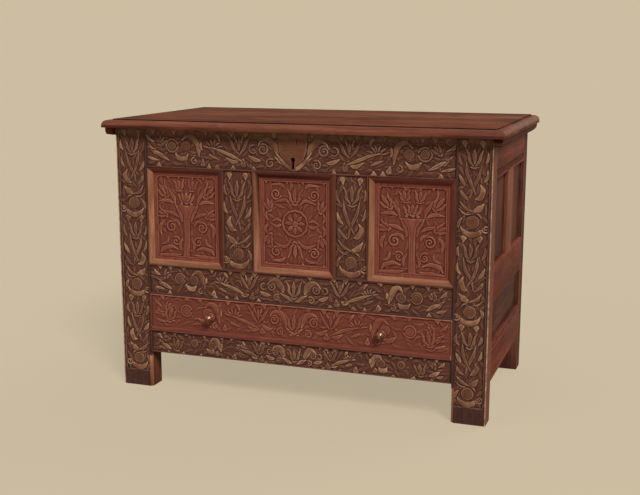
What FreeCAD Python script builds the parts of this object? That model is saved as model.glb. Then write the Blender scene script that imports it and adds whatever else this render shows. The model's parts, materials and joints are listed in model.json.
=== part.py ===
import FreeCAD, Part
import os
import re
import Sketcher

Vector = FreeCAD.Vector
Rotation = FreeCAD.Rotation

# Real sizes in millimetres. A name that ends in share is a part of another size.
SIZES = {
    # the case over its four corner posts
    "body_wide": "1130",
    "body_deep": "600",
    "stile_wide": "98",
    "stile_thick": "58",
    "rail_thick": "30",
    # heights of the front, from the floor up
    "foot_tall": "113",
    "front_bottom_tall": "66",
    "drawer_open_tall": "117",
    "front_middle_tall": "90",
    "panel_open_tall": "296",
    "top_tall": "114",
    # heights of the two ends and the back
    "end_bottom_tall": "104",
    "end_middle_up": "40",
    "end_middle_tall": "104",
    # upright bars between the panels
    "front_muntin_wide": "98",
    "end_muntin_wide": "84",
    "rear_muntin_wide": "98",
    # mortise and tenon joints
    "tenon_set": "10",
    "tenon_thick": "10",
    "tenon_shoulder": "12",
    "front_tenon_long": "45",
    "end_tenon_long": "35",
    "muntin_tenon_long": "30",
    "fit_gap": "0.2",
    # wooden pins through the joints, sunk below the carved face
    "pin_radius": "4",
    "pin_sides": "6",
    "pin_gap": "0.1",
    "pin_inset": "20",
    "pin_long": "32",
    "pin_sunk": "4",
    "pin_low_share": "0.3",
    "pin_high_share": "0.7",
    "muntin_pin_up": "15",
    # grooves and the panels that float in them
    "groove_set": "12",
    "groove_wide": "8",
    "groove_deep": "10",
    "groove_gap": "1",
    "panel_field_thick": "6",
    "panel_bevel": "26",
    "panel_inset": "2",
    # mitred strips that frame each front panel
    "strip_wide": "17",
    "strip_sunk": "1",
    "strip_flat": "4",
    "strip_lip": "3",
    # run lines along the end rails
    "bead_lines": "3",
    "bead_wide": "3",
    "bead_deep": "2",
    "bead_pitch": "6",
    "bead_up": "9",
    # chamfer on the inner edge of each front foot
    "foot_chamfer": "11",
    "chamfer_stop": "12",
    # floor of the chest
    "floor_up": "16",
    "floor_thick": "14",
    "floor_boards": "5",
    "board_gap": "0.6",
    # lid
    "lid_gap": "0.3",
    "lid_thick": "25",
    "lid_front_over": "28",
    "lid_back_over": "20",
    "lid_end_over": "32",
    "nose_inset": "26",
    "nose_step": "3",
    "nose_radius": "15",
    # cleats under the ends of the lid
    "cleat_wide": "24",
    "cleat_tall": "23",
    "cleat_gap": "1",
    "cleat_front_set": "10",
    "cleat_round": "17",
    "cleat_nails": "4",
    # loop hinges
    "hinge_in": "87",
    "hinge_wire": "2.5",
    "hinge_legs": "28",
    "hinge_clinch": "6",
    "eye_gap": "0.4",
    "hinge_gap": "0.6",
    "eye_depth": "17",
    # drawer
    "drawer_gap": "1.5",
    "drawer_rear_gap": "40",
    "drawer_front_thick": "25",
    "drawer_rebate": "12",
    "drawer_side_thick": "18",
    "drawer_side_drop": "8",
    "drawer_back_thick": "16",
    "drawer_bottom_thick": "10",
    "drawer_boards": "4",
    "drawer_nail_in": "15",
    # side runners of the drawer
    "runner_tall": "16",
    "runner_up": "46",
    "runner_seat": "18",
    "runner_end": "25",
    "runner_start": "3",
    "run_gap": "0.4",
    "run_groove": "10",
    # turned drawer knobs
    "knob_in": "202",
    "knob_radius": "12.5",
    "knob_neck": "6",
    "knob_foot": "9.5",
    "knob_foot_thick": "3",
    "knob_long": "27",
    "knob_crown": "4",
    "knob_crown_radius": "8.5",
    "knob_head_thick": "10",
    "knob_stem": "4",
    "turned_sides": "16",
    # keyhole
    "key_up": "37",
    "key_radius": "6.5",
    "key_slot_wide": "8",
    "key_slot_long": "27",
    # iron lock on the back of the top rail
    "lock_wide": "104",
    "lock_tall": "92",
    "lock_deep": "28",
    "lock_up": "8",
    "lock_wall": "2",
    "lock_wing": "13",
    "lock_nail_in": "12",
    "bolt_wide": "42",
    "bolt_tall": "12",
    "bolt_thick": "5",
    "bolt_drop": "17",
    "bolt_travel": "10",
    "bolt_rest": "4.5",
    "bolt_gap": "0.3",
    "talon_wide": "6",
    "talon_tall": "8",
    "guide_wide": "4",
    "guide_wall": "3",
    # iron staple under the lid
    "staple_thick": "4",
    "staple_gap": "2",
    "staple_eye_wide": "10",
    "staple_eye_under": "4",
    "staple_plate_wide": "34",
    "staple_plate_long": "46",
    "staple_plate_thick": "2",
    "staple_nail_out": "15",
    # square forged nails
    "nail_thick": "2.6",
    "nail_head": "6",
    "nail_head_thick": "1.6",
    "nail_long": "38",
    "nail_short": "20",
    "overrun": "5",
}

# Places worked out from those sizes.
HALF = "(body_wide / 2)"
FRONT = "((lid_front_over - lid_back_over - body_deep) / 2)"
MIDDLE = "((lid_front_over - lid_back_over) / 2)"
BACK = "((lid_front_over - lid_back_over + body_deep) / 2)"
FRONT_SPAN = "(body_wide - 2 * stile_wide)"
END_SPAN = "(body_deep - 2 * stile_thick)"
DRAWER_LOW = "(foot_tall + front_bottom_tall)"
DRAWER_HIGH = f"({DRAWER_LOW} + drawer_open_tall)"
PANEL_LOW = f"({DRAWER_HIGH} + front_middle_tall)"
TOP_LOW = f"({PANEL_LOW} + panel_open_tall)"
CASE_TALL = f"({TOP_LOW} + top_tall)"
END_BOTTOM_HIGH = "(foot_tall + end_bottom_tall)"
END_MIDDLE_LOW = f"({DRAWER_HIGH} + end_middle_up)"
END_MIDDLE_HIGH = f"({END_MIDDLE_LOW} + end_middle_tall)"
FLOOR_LOW = f"({END_MIDDLE_LOW} + floor_up)"
FLOOR_HIGH = f"({FLOOR_LOW} + floor_thick)"
LID_LOW = f"({CASE_TALL} + lid_gap)"
PANEL_WIDE = f"(({FRONT_SPAN} - 2 * front_muntin_wide) / 3)"
MUNTIN_PLACE = f"(({PANEL_WIDE} + front_muntin_wide) / 2)"
TENON_BACK = "(tenon_set + tenon_thick)"
GROOVE_BACK = "(groove_set + groove_wide)"
EYE_OUTER = "(3 * hinge_wire + eye_gap)"
PIVOT_Y = f"({BACK} + {EYE_OUTER} + hinge_gap)"
PIVOT_Z = f"({LID_LOW} - {EYE_OUTER} - hinge_gap)"
BOLT_Y = "(rail_thick + (lock_deep - lock_wall) / 2)"
HINGE_PLACE = f"({FRONT_SPAN} / 2 - hinge_in)"
KNOB_PLACE = f"({FRONT_SPAN} / 2 - knob_in)"
DRAWER_LONG = "(body_deep - rail_thick - drawer_rear_gap)"
LOCK_LOW = f"({TOP_LOW} + lock_up)"
LOCK_HIGH = f"({LOCK_LOW} + lock_tall)"
BOLT_Z = f"({LOCK_HIGH} - bolt_drop)"
RUNNER_LOW = f"({DRAWER_LOW} + runner_up)"
RUNNER_HIGH = f"({RUNNER_LOW} + runner_tall)"

# Each frame lies along its own X, with Y going inwards from its outer face.
FRAMES = {
    "front": {
        "label": "front_{}",
        "turn": 0,
        "base": ("0", FRONT),
        "span": FRONT_SPAN,
        "tenon": "front_tenon_long",
        "rails": {
            "bottom": ("foot_tall", DRAWER_LOW),
            "middle": (DRAWER_HIGH, PANEL_LOW),
            "top": (TOP_LOW, CASE_TALL),
        },
        "muntin_wide": "front_muntin_wide",
        "muntins": {"left": f"-{MUNTIN_PLACE}", "right": MUNTIN_PLACE},
        "openings": [("middle", "top")],
    },
    "back": {
        "label": "rear_{}",
        "turn": 180,
        "base": ("0", BACK),
        "span": FRONT_SPAN,
        "tenon": "front_tenon_long",
        "rails": {
            "bottom": ("foot_tall", END_BOTTOM_HIGH),
            "middle": (END_MIDDLE_LOW, END_MIDDLE_HIGH),
            "top": (TOP_LOW, CASE_TALL),
        },
        "muntin_wide": "rear_muntin_wide",
        "muntins": {"": "0"},
        "openings": [("bottom", "middle"), ("middle", "top")],
    },
}
for hand, turn, place in (("left", -90, f"-{HALF}"), ("right", 90, HALF)):
    FRAMES[hand] = dict(
        FRAMES["back"],
        label="side_{}_" + hand,
        turn=turn,
        base=(place, MIDDLE),
        span=END_SPAN,
        tenon="end_tenon_long",
        muntin_wide="end_muntin_wide",
    )

doc = FreeCAD.newDocument("JoinedChest")
sheet = doc.addObject("Spreadsheet::Sheet", "Sizes")
for row, (alias, size) in enumerate(SIZES.items(), start=1):
    sheet.set(f"A{row}", size)
    sheet.setAlias(f"A{row}", alias)
doc.recompute()
parts = []


# Sums of named sizes

def cells(text):
    return re.sub(r"[a-z]\w*", r"Sizes.\g<0>", text)


def bind(piece, path, text):
    piece.setExpression(path, cells(text))


def value(text):
    return float(sheet.evalExpression(cells(text)) if text != "0" else 0)


def grown(low, high, margin):
    return f"{low} - {margin}", f"{high} + {margin}"


def on_side(side, low, high):
    return (low, high) if side > 0 else (f"-({high})", f"-({low})")


def about(centre, wide):
    return f"{centre} - ({wide}) / 2", f"{centre} + ({wide}) / 2"


# Plain solids and booleans

def block(x, y, z):
    piece = doc.addObject("Part::Box", "Block")
    for size, axis, (low, high) in zip(("Length", "Width", "Height"), "xyz", (x, y, z)):
        bind(piece, size, f"({high}) - ({low})")
        bind(piece, f"Placement.Base.{axis}", low)
    return piece


def rod(axis, radius, x, y, z, sides=None):
    """A round bar along an axis, or one with that many flat sides."""
    if sides:
        piece = doc.addObject("Part::Prism", "Stick")
        bind(piece, "Polygon", sides)
        bind(piece, "Circumradius", radius)
    else:
        piece = doc.addObject("Part::Cylinder", "Rod")
        bind(piece, "Radius", radius)
    turns = {"x": Rotation(Vector(0, 1, 0), 90), "y": Rotation(Vector(1, 0, 0), -90), "z": Rotation()}
    piece.Placement.Rotation = turns[axis]
    for letter, where in zip("xyz", (x, y, z)):
        if letter == axis:
            low, high = where
            bind(piece, "Height", f"({high}) - ({low})")
            where = low
        bind(piece, f"Placement.Base.{letter}", where)
    return piece


def fuse(*pieces):
    joined = doc.addObject("Part::MultiFuse", "Joined")
    joined.Shapes = list(pieces)
    return joined


def group(*pieces):
    together = doc.addObject("Part::Compound", "Group")
    together.Links = list(pieces)
    return together


def cut(base, *tools):
    result = doc.addObject("Part::Cut", "Cut")
    result.Base = base
    result.Tool = tools[0] if len(tools) == 1 else fuse(*tools)
    return result


def stand(piece, frame):
    spec = FRAMES[frame]
    piece.Placement.Rotation = Rotation(Vector(0, 0, 1), spec["turn"])
    bind(piece, "Placement.Base.x", spec["base"][0])
    bind(piece, "Placement.Base.y", spec["base"][1])
    return piece


def keep(piece, label, frame=None):
    if frame:
        stand(piece, frame)
    piece.Label = label
    parts.append(piece)
    return piece


# Nails

def nail(axis, inward, at, long="nail_long", gap="0", outward="0"):
    """A square forged nail driven in from a place; a gap round it makes its hole."""
    bars = []
    for wide, reach in (("nail_thick", long), ("nail_head", "nail_head_thick")):
        spans = []
        for letter, centre in zip("xyz", at):
            if letter != axis:
                spans.append(about(centre, f"{wide} + 2 * {gap}"))
            elif inward > 0:
                spans.append((f"{centre} - {outward}", f"{centre} + {reach} + {gap}"))
            else:
                spans.append((f"{centre} - {reach} - {gap}", f"{centre} + {outward}"))
        bars.append(block(*spans))
    return fuse(*bars)


def nail_hole(axis, inward, at, long="nail_long"):
    return nail(axis, inward, at, long, "fit_gap", "overrun")


# Sketched solids

def plane_sketch(body, role):
    sketch = body.newObject("Sketcher::SketchObject", "Outline")
    plane = [face for face in body.Origin.OriginFeatures if face.Role == role][0]
    sketch.AttachmentSupport = [(plane, "")]
    sketch.MapMode = "FlatFace"
    return sketch


def draw(sketch, points, arcs=None):
    """Close a line anticlockwise through the points.

    A quarter round starts at each index in arcs, which gives its radius and
    whether its centre lies in line with the start or the end of the arc.
    """
    arcs = arcs or {}
    spots = [Vector(value(u), value(v), 0) for u, v in points]
    for index, start in enumerate(spots):
        end = spots[(index + 1) % len(spots)]
        if index in arcs:
            radius, above = arcs[index]
            centre = Vector(start.x, end.y, 0) if above == "start" else Vector(end.x, start.y, 0)
            middle = centre + ((start + end) / 2 - centre).normalize() * value(radius)
            sketch.addGeometry(Part.Arc(start, middle, end), False)
        else:
            sketch.addGeometry(Part.LineSegment(start, end), False)
    for index in range(len(spots)):
        sketch.addConstraint(Sketcher.Constraint("Coincident", index, 2, (index + 1) % len(spots), 1))
    for index, (spot, texts) in enumerate(zip(spots, points)):
        for kind, number, text in zip(("DistanceX", "DistanceY"), (spot.x, spot.y), texts):
            which = sketch.addConstraint(Sketcher.Constraint(kind, -1, 1, index, 1, number))
            sketch.renameConstraint(which, f"{kind}{index}")
            bind(sketch, f"Constraints.{kind}{index}", text)
    for index, (radius, _) in arcs.items():
        which = sketch.addConstraint(Sketcher.Constraint("Radius", index, value(radius)))
        sketch.renameConstraint(which, f"Radius{index}")
        bind(sketch, f"Constraints.Radius{index}", radius)


def padded_outline(name, role, points, arcs, long):
    body = doc.addObject("PartDesign::Body", name)
    sketch = plane_sketch(body, role)
    draw(sketch, points, arcs)
    pad = body.newObject("PartDesign::Pad", "Length")
    pad.Profile = sketch
    pad.Midplane = True
    bind(pad, "Length", long)
    return body


# Joinery that the frames share

def pin_heights(low, high):
    tall = f"(({high}) - ({low}))"
    return [f"{low} + {tall} * {share}" for share in ("pin_low_share", "pin_high_share")]


def pin_places(frame):
    """Give x and z of each pin of a frame, its joints first and its muntins last."""
    spec = FRAMES[frame]
    places = []
    for low, high in spec["rails"].values():
        for side in (-1, 1):
            for height in pin_heights(low, high):
                places.append((f"{side} * ({spec['span']} / 2 + pin_inset)", height))
    opening_low, opening_high = spec["rails"]["middle"][1], spec["rails"]["top"][0]
    for centre in spec["muntins"].values():
        places.append((centre, f"{opening_low} - muntin_pin_up"))
        places.append((centre, f"{opening_high} + muntin_pin_up"))
    return places


def pin_hole(x, z):
    return rod("y", "pin_radius + pin_gap", x, ("-overrun", "pin_sunk + pin_long"), z, "pin_sides")


def groove(x, z):
    return block(x, ("groove_set", GROOVE_BACK), z)


def end_cutters(frame, side):
    """Mortises, panel grooves and pin holes of a frame in the stile at one of its ends."""
    spec = FRAMES[frame]
    edge = f"{spec['span']} / 2"
    mortise_y = grown("tenon_set", TENON_BACK, "fit_gap")
    tools = []
    for low, high in spec["rails"].values():
        reach = on_side(side, f"{edge} - overrun", f"{edge} + {spec['tenon']} + fit_gap")
        mortise_z = grown(f"{low} + tenon_shoulder", f"{high} - tenon_shoulder", "fit_gap")
        tools.append(block(reach, mortise_y, mortise_z))
        for height in pin_heights(low, high):
            tools.append(pin_hole(f"{side} * ({edge} + pin_inset)", height))
    for below, above in spec["openings"]:
        reach = on_side(side, f"{edge} - overrun", f"{edge} + groove_deep")
        clear = (spec["rails"][below][1], spec["rails"][above][0])
        tools.append(groove(reach, grown(*clear, "groove_deep")))
    return stand(group(*tools), frame)


def rail(frame, level, *extra_tools):
    spec = FRAMES[frame]
    low, high = spec["rails"][level]
    half = f"{spec['span']} / 2"
    body = block((f"-{half}", half), ("0", "rail_thick"), (low, high))
    tenon_x = (f"-{half} - {spec['tenon']}", f"{half} + {spec['tenon']}")
    tenon_z = (f"{low} + tenon_shoulder", f"{high} - tenon_shoulder")
    tenons = block(tenon_x, ("tenon_set", TENON_BACK), tenon_z)
    tools = list(extra_tools)
    for side in (-1, 1):
        for height in pin_heights(low, high):
            tools.append(pin_hole(f"{side} * ({half} + pin_inset)", height))
    along = (f"-{half} - overrun", f"{half} + overrun")
    for below, above in spec["openings"]:
        if level == below:
            tools.append(groove(along, (f"{high} - groove_deep", f"{high} + overrun")))
        if level == above:
            tools.append(groove(along, (f"{low} - overrun", f"{low} + groove_deep")))
    if level != "bottom":
        tools += muntin_mortises(frame, level)
    return cut(fuse(body, tenons), *tools)


def muntin_mortises(frame, level):
    spec = FRAMES[frame]
    low, high = spec["rails"][level]
    tools = []
    for centre in spec["muntins"].values():
        across = grown(*about(centre, f"{spec['muntin_wide']} - 2 * tenon_shoulder"), "fit_gap")
        if level == "middle":
            upright = (f"{high} - muntin_tenon_long - fit_gap", f"{high} + overrun")
            pin = f"{high} - muntin_pin_up"
        else:
            upright = (f"{low} - overrun", f"{low} + muntin_tenon_long + fit_gap")
            pin = f"{low} + muntin_pin_up"
        tools.append(block(across, grown("tenon_set", TENON_BACK, "fit_gap"), upright))
        tools.append(pin_hole(centre, pin))
    return tools


def muntin(frame, centre):
    spec = FRAMES[frame]
    low, high = spec["rails"]["middle"][1], spec["rails"]["top"][0]
    wide = spec["muntin_wide"]
    x_low, x_high = about(centre, wide)
    body = block((x_low, x_high), ("0", "rail_thick"), (low, high))
    tenon_x = about(centre, f"{wide} - 2 * tenon_shoulder")
    tenons = block(tenon_x, ("tenon_set", TENON_BACK), grown(low, high, "muntin_tenon_long"))
    upright = grown(low, high, "overrun")
    left = groove((f"{x_low} - overrun", f"{x_low} + groove_deep"), upright)
    right = groove((f"{x_high} - groove_deep", f"{x_high} + overrun"), upright)
    clear_tenon = cut(group(left, right), block(tenon_x, grown("0", "rail_thick", "overrun"), upright))
    pins = [pin_hole(centre, f"{low} - muntin_pin_up"), pin_hole(centre, f"{high} + muntin_pin_up")]
    return cut(fuse(body, tenons), clear_tenon, *pins)


def panel(x, z):
    """A board with a thin edge in the grooves and a thicker field behind, bevelled all round."""
    face = "groove_set + fit_gap"
    back = f"{GROOVE_BACK} - fit_gap"
    spread = "groove_deep - groove_gap"
    edge = block(grown(*x, f"({spread})"), (face, back), grown(*z, f"({spread})"))
    field = doc.addObject("Part::Wedge", "Field")
    bind(field, "Placement.Base.y", back)
    for name, (low, high) in {"X": x, "Z": z}.items():
        bind(field, f"{name}min", f"{low} + panel_inset")
        bind(field, f"{name}max", f"{high} - panel_inset")
        bind(field, f"{name}2min", f"{low} + panel_bevel")
        bind(field, f"{name}2max", f"{high} - panel_bevel")
    bind(field, "Ymin", "0")
    bind(field, "Ymax", "panel_field_thick")
    return fuse(edge, field)


def panel_spans(frame):
    """Give the clear widths between stiles and muntins, from left to right."""
    spec = FRAMES[frame]
    edges = [f"-{spec['span']} / 2"]
    for centre in spec["muntins"].values():
        edges += about(centre, spec["muntin_wide"])
    edges.append(f"{spec['span']} / 2")
    return list(zip(edges[0::2], edges[1::2]))


# Corner posts

def stile(label, side, y, ends, *extra_tools):
    post = block(on_side(side, f"{HALF} - stile_wide", HALF), y, ("0", CASE_TALL))
    keep(cut(post, *[end_cutters(frame, end) for frame, end in ends], *extra_tools), label)


def runner_notch(side, y):
    x = on_side(side, f"{FRONT_SPAN} / 2 - overrun", f"{FRONT_SPAN} / 2 + runner_seat")
    return stand(group(block(x, y, grown(RUNNER_LOW, RUNNER_HIGH, "fit_gap"))), "front")


def foot_edge(side):
    cutter = block(("0", "foot_chamfer"), ("0", "foot_chamfer"), ("-overrun", "foot_tall - chamfer_stop"))
    cutter.Placement.Rotation = Rotation(Vector(0, 0, 1), 45)
    bind(cutter, "Placement.Base.x", f"{side} * ({HALF} - stile_wide)")
    bind(cutter, "Placement.Base.y", f"{FRONT} - foot_chamfer * 0.5 ^ 0.5")
    return cutter


RUNNER_FRONT = "(drawer_front_thick + runner_start)"
RUNNER_REAR = "(body_deep - stile_thick + runner_end)"
for side, hand in ((-1, "left"), (1, "right")):
    front_notch = runner_notch(side, (f"{RUNNER_FRONT} - fit_gap", "stile_thick + overrun"))
    rear_notch = runner_notch(side, ("body_deep - stile_thick - overrun", f"{RUNNER_REAR} + fit_gap"))
    ends = [("front", side), (hand, -side)]
    stile(f"front_stile_{hand}", side, (FRONT, f"{FRONT} + stile_thick"), ends, front_notch, foot_edge(side))
    ends = [("back", -side), (hand, side)]
    stile(f"rear_stile_{hand}", side, (f"{BACK} - stile_thick", BACK), ends, rear_notch)


# Rails, muntins and panels

def key_passage(y):
    slot_low = f"{TOP_LOW} + key_up - key_slot_long"
    round_part = rod("y", "key_radius", "0", y, f"{TOP_LOW} + key_up", "turned_sides")
    slot = block(about("0", "key_slot_wide"), y, (slot_low, f"{TOP_LOW} + key_up"))
    return fuse(round_part, slot)


def floor_groove(frame):
    half = f"{FRAMES[frame]['span']} / 2"
    floor_z = grown(FLOOR_LOW, FLOOR_HIGH, "fit_gap")
    return block((f"-{half}", half), ("rail_thick - groove_deep", "rail_thick + overrun"), floor_z)


def bead_lines(frame, level, upward):
    """Fine lines run along a rail, near its edge to the panel."""
    spec = FRAMES[frame]
    low, high = spec["rails"][level]
    half = f"{spec['span']} / 2"
    lines = []
    for count in range(int(value("bead_lines"))):
        rise = f"bead_up + {count} * bead_pitch"
        start = f"{low} + {rise}" if upward else f"{high} - {rise} - bead_wide"
        lines.append(block((f"-{half}", half), ("-overrun", "bead_deep"), (start, f"{start} + bead_wide")))
    return lines


IRON_WIDE = "(2 * hinge_wire)"
IRON_HOLE = "(2 * hinge_wire + 2 * fit_gap)"


def staple_holes():
    """Holes in the rear top rail for the four legs of the hinge staples."""
    holes = []
    for side in (-1, 1):
        for leg in about(f"{side} * {HINGE_PLACE}", "hinge_legs"):
            y = grown("0", "rail_thick", "overrun")
            holes.append(block(about(leg, IRON_HOLE), y, about(PIVOT_Z, IRON_HOLE)))
    return holes


def lock_nails():
    """Places of the nails through the wings of the lock, into the top rail."""
    y = "(rail_thick + lock_wall + nail_head_thick)"
    places = []
    for side in (-1, 1):
        for z in (f"{LOCK_LOW} + lock_nail_in", f"{LOCK_HIGH} - lock_nail_in"):
            places.append((f"{side} * (lock_wide + lock_wing) / 2", y, z))
    return places


extra = {
    ("front", "top"): [
        key_passage(("-overrun", "rail_thick + overrun")),
        *[nail_hole("y", -1, at, "nail_short") for at in lock_nails()],
    ],
    ("front", "middle"): [floor_groove("front")],
    ("back", "middle"): [floor_groove("back")],
    ("back", "top"): staple_holes(),
}
for hand in ("left", "right"):
    extra[(hand, "top")] = bead_lines(hand, "top", True)
    extra[(hand, "bottom")] = bead_lines(hand, "bottom", False)
for frame, spec in FRAMES.items():
    for level in spec["rails"]:
        label = spec["label"].format(f"{level}_rail")
        keep(rail(frame, level, *extra.get((frame, level), [])), label, frame)
    for name, centre in spec["muntins"].items():
        label = spec["label"].format(f"muntin_{name}".rstrip("_"))
        keep(muntin(frame, centre), label, frame)

spans = panel_spans("front")
opening = (PANEL_LOW, TOP_LOW)
for name, x in zip(("left", "middle", "right"), spans):
    keep(panel(x, opening), f"front_panel_{name}", "front")
for frame in ("back", "left", "right"):
    spec = FRAMES[frame]
    upper = [panel(x, (END_MIDDLE_HIGH, TOP_LOW)) for x in panel_spans(frame)]
    keep(group(*upper), spec["label"].format("upper_panels"), frame)
    half = f"{spec['span']} / 2"
    lower = panel((f"-{half}", half), (END_BOTTOM_HIGH, END_MIDDLE_LOW))
    keep(lower, spec["label"].format("lower_panel"), frame)


# Mitred strips round the front panels

def strip_ring(label, x, z):
    """Four bevelled strips, mitred where they meet, standing on the face of a panel."""
    x_low, x_high = (value(text) for text in x)
    z_low, z_high = (value(text) for text in z)
    back = value("groove_set + fit_gap")
    sunk = value("strip_sunk")
    wide = value("strip_wide")
    inner = value("groove_set + fit_gap - strip_lip")
    profile = [(0, back), (0, sunk), (value("strip_flat"), sunk), (wide, inner), (wide, back)]
    corners = [
        (x_low, z_low, 1, 1),
        (x_high, z_low, -1, 1),
        (x_high, z_high, -1, -1),
        (x_low, z_high, 1, -1),
    ]
    strips = []
    for start, end in zip(corners, corners[1:] + corners[:1]):
        sections = []
        for corner_x, corner_z, in_x, in_z in (start, end):
            spots = []
            for step, depth in profile:
                spots.append(Vector(corner_x + in_x * step, depth, corner_z + in_z * step))
            sections.append(Part.makePolygon(spots + spots[:1]))
        strips.append(Part.makeLoft(sections, True, True))
    ring = doc.addObject("Part::Feature", label)
    ring.Shape = Part.makeCompound(strips)
    return keep(ring, label, "front")


for name, x in zip(("left", "middle", "right"), spans):
    strip_ring(f"front_strips_{name}", x, opening)

# Pins through the joints

pins = []
for frame in FRAMES:
    long = ("pin_sunk", "pin_sunk + pin_long")
    sticks = [rod("y", "pin_radius", x, long, z, "pin_sides") for x, z in pin_places(frame)]
    pins.append(stand(group(*sticks), frame))
keep(group(*pins), "frame_pins")


# Floor boards, notched round the corner posts

def floor():
    count = int(value("floor_boards"))
    half = f"({HALF} - rail_thick - fit_gap)"
    step = f"(2 * {half} / floor_boards)"
    y = ("rail_thick - groove_deep + groove_gap", "body_deep - rail_thick + groove_deep - groove_gap")
    z = (FLOOR_LOW, FLOOR_HIGH)
    boards = []
    for index in range(count):
        low, high = f"-{half} + {index} * {step}", f"-{half} + {index + 1} * {step} - board_gap"
        board = block((low, high), y, z)
        if index in (0, count - 1):
            side = -1 if index == 0 else 1
            x = on_side(side, f"{FRONT_SPAN} / 2 - fit_gap", f"{HALF} + overrun")
            front_post = block(x, ("-overrun", "stile_thick + fit_gap"), grown(*z, "overrun"))
            rear_post = block(x, ("body_deep - stile_thick - fit_gap", "body_deep"), grown(*z, "overrun"))
            board = cut(board, front_post, rear_post)
        boards.append(board)
    return group(*boards)


keep(floor(), "floor_boards", "front")


# Lid

def lid_outline(back_edge, front_edge, both_ends):
    """Outline of the lid's thickness, with the thumbnail nose at one or both of its ends."""
    top, shoulder, spring = "lid_thick", "lid_thick - nose_step", "lid_thick - nose_step - nose_radius"
    points = [(front_edge, "0"), (back_edge, "0")]
    arcs = {}
    if both_ends:
        arcs[2] = ("nose_radius", "end")
        points.append((back_edge, spring))
        points.append((f"{back_edge} - nose_radius", shoulder))
        points.append((f"{back_edge} - nose_inset", shoulder))
        points.append((f"{back_edge} - nose_inset", top))
    else:
        points.append((back_edge, top))
    points.append((f"{front_edge} + nose_inset", top))
    points.append((f"{front_edge} + nose_inset", shoulder))
    arcs[len(points)] = ("nose_radius", "start")
    points.append((f"{front_edge} + nose_radius", shoulder))
    points.append((front_edge, spring))
    return points, arcs


LID_HALF = f"({HALF} + lid_end_over)"
LID_FRONT = f"({FRONT} - lid_front_over)"
LID_BACK = f"({BACK} + lid_back_over)"
outline, arcs = lid_outline(LID_BACK, LID_FRONT, False)
long_way = padded_outline("LidLengthways", "YZ_Plane", outline, arcs, f"2 * {LID_HALF} + 2 * overrun")
outline, arcs = lid_outline(LID_HALF, f"-{LID_HALF}", True)
deep_way = padded_outline("LidAcross", "XZ_Plane", outline, arcs, "2 * body_deep")
board = doc.addObject("Part::Common", "LidBoard")
board.Base = long_way
board.Tool = deep_way
eye_holes = []
for side in (-1, 1):
    eye_x = about(f"{side} * {HINGE_PLACE}", IRON_HOLE)
    eye_holes.append(block(eye_x, about(PIVOT_Y, IRON_HOLE), ("-overrun", "eye_depth + fit_gap")))
plate_x = about("0", "staple_plate_long")
plate_y = about(BOLT_Y, "staple_plate_wide")
staple_nails = [(f"{side} * staple_nail_out", BOLT_Y, "-nail_head_thick") for side in (-1, 1)]
bed = [block(plate_x, plate_y, ("-overrun", "staple_plate_thick"))]
bed += [nail_hole("z", 1, at, "nail_short") for at in staple_nails]
cleat_long = f"({LID_BACK} - {LID_FRONT} - cleat_front_set)"
cleat_nails = []
for side in (-1, 1):
    for index in range(int(value("cleat_nails"))):
        share = f"(2 * {index} + 1) / (2 * cleat_nails)"
        y = f"{LID_BACK} - {cleat_long} * {share}"
        cleat_nails.append((f"{side} * ({HALF} + cleat_gap + cleat_wide / 2)", y, "-cleat_tall"))
cleat_nail_holes = [nail_hole("z", 1, at) for at in cleat_nails]
lid = cut(board, *eye_holes, stand(group(*bed), "front"), *cleat_nail_holes)
bind(lid, "Placement.Base.z", LID_LOW)
keep(lid, "lid_board")

for side, hand in ((-1, "left"), (1, "right")):
    low = f"{LID_FRONT} + cleat_front_set"
    outline = [
        (LID_BACK, "-cleat_tall"),
        (LID_BACK, "0"),
        (low, "0"),
        (low, "cleat_round - cleat_tall"),
        (f"{low} + cleat_round", "-cleat_tall"),
    ]
    arcs = {3: ("cleat_round", "end")}
    bar = padded_outline(f"Cleat{hand}", "YZ_Plane", outline, arcs, "cleat_wide")
    bind(bar, "Placement.Base.x", f"{side} * ({HALF} + cleat_gap + cleat_wide / 2)")
    cleat = cut(bar, *[nail_hole("z", 1, at) for at in cleat_nails])
    bind(cleat, "Placement.Base.z", LID_LOW)
    keep(cleat, f"lid_cleat_{hand}")

driven = group(*[nail("z", 1, at) for at in cleat_nails])
short = stand(group(*[nail("z", 1, at, "nail_short") for at in staple_nails]), "front")
nails = group(driven, short)
bind(nails, "Placement.Base.z", LID_LOW)
keep(nails, "lid_nails")


# Loop hinges

staples = []
eyes = []
for side in (-1, 1):
    centre = f"{side} * {HINGE_PLACE}"
    legs_x = about(centre, "hinge_legs")
    leg_y = (f"{BACK} - rail_thick - hinge_clinch", f"{PIVOT_Y} + hinge_wire")
    leg_z = about(PIVOT_Z, IRON_WIDE)
    legs = [block(about(leg_x, IRON_WIDE), leg_y, leg_z) for leg_x in legs_x]
    staples.append(fuse(rod("x", "hinge_wire", legs_x, PIVOT_Y, PIVOT_Z), *legs))
    eye_x = about(centre, IRON_WIDE)
    ring = rod("x", EYE_OUTER, eye_x, PIVOT_Y, PIVOT_Z, "turned_sides")
    hollow_x = grown(*eye_x, "overrun")
    hollow = rod("x", "hinge_wire + eye_gap", hollow_x, PIVOT_Y, PIVOT_Z, "turned_sides")
    shank_z = (f"{PIVOT_Z} + 2 * hinge_wire + eye_gap", f"{LID_LOW} + eye_depth")
    eyes.append(fuse(cut(ring, hollow), block(eye_x, about(PIVOT_Y, IRON_WIDE), shank_z)))
keep(group(*staples), "hinge_staples")
keep(group(*eyes), "hinge_eyes")


# Lock, its bolt and the staple that hangs from the lid

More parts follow.
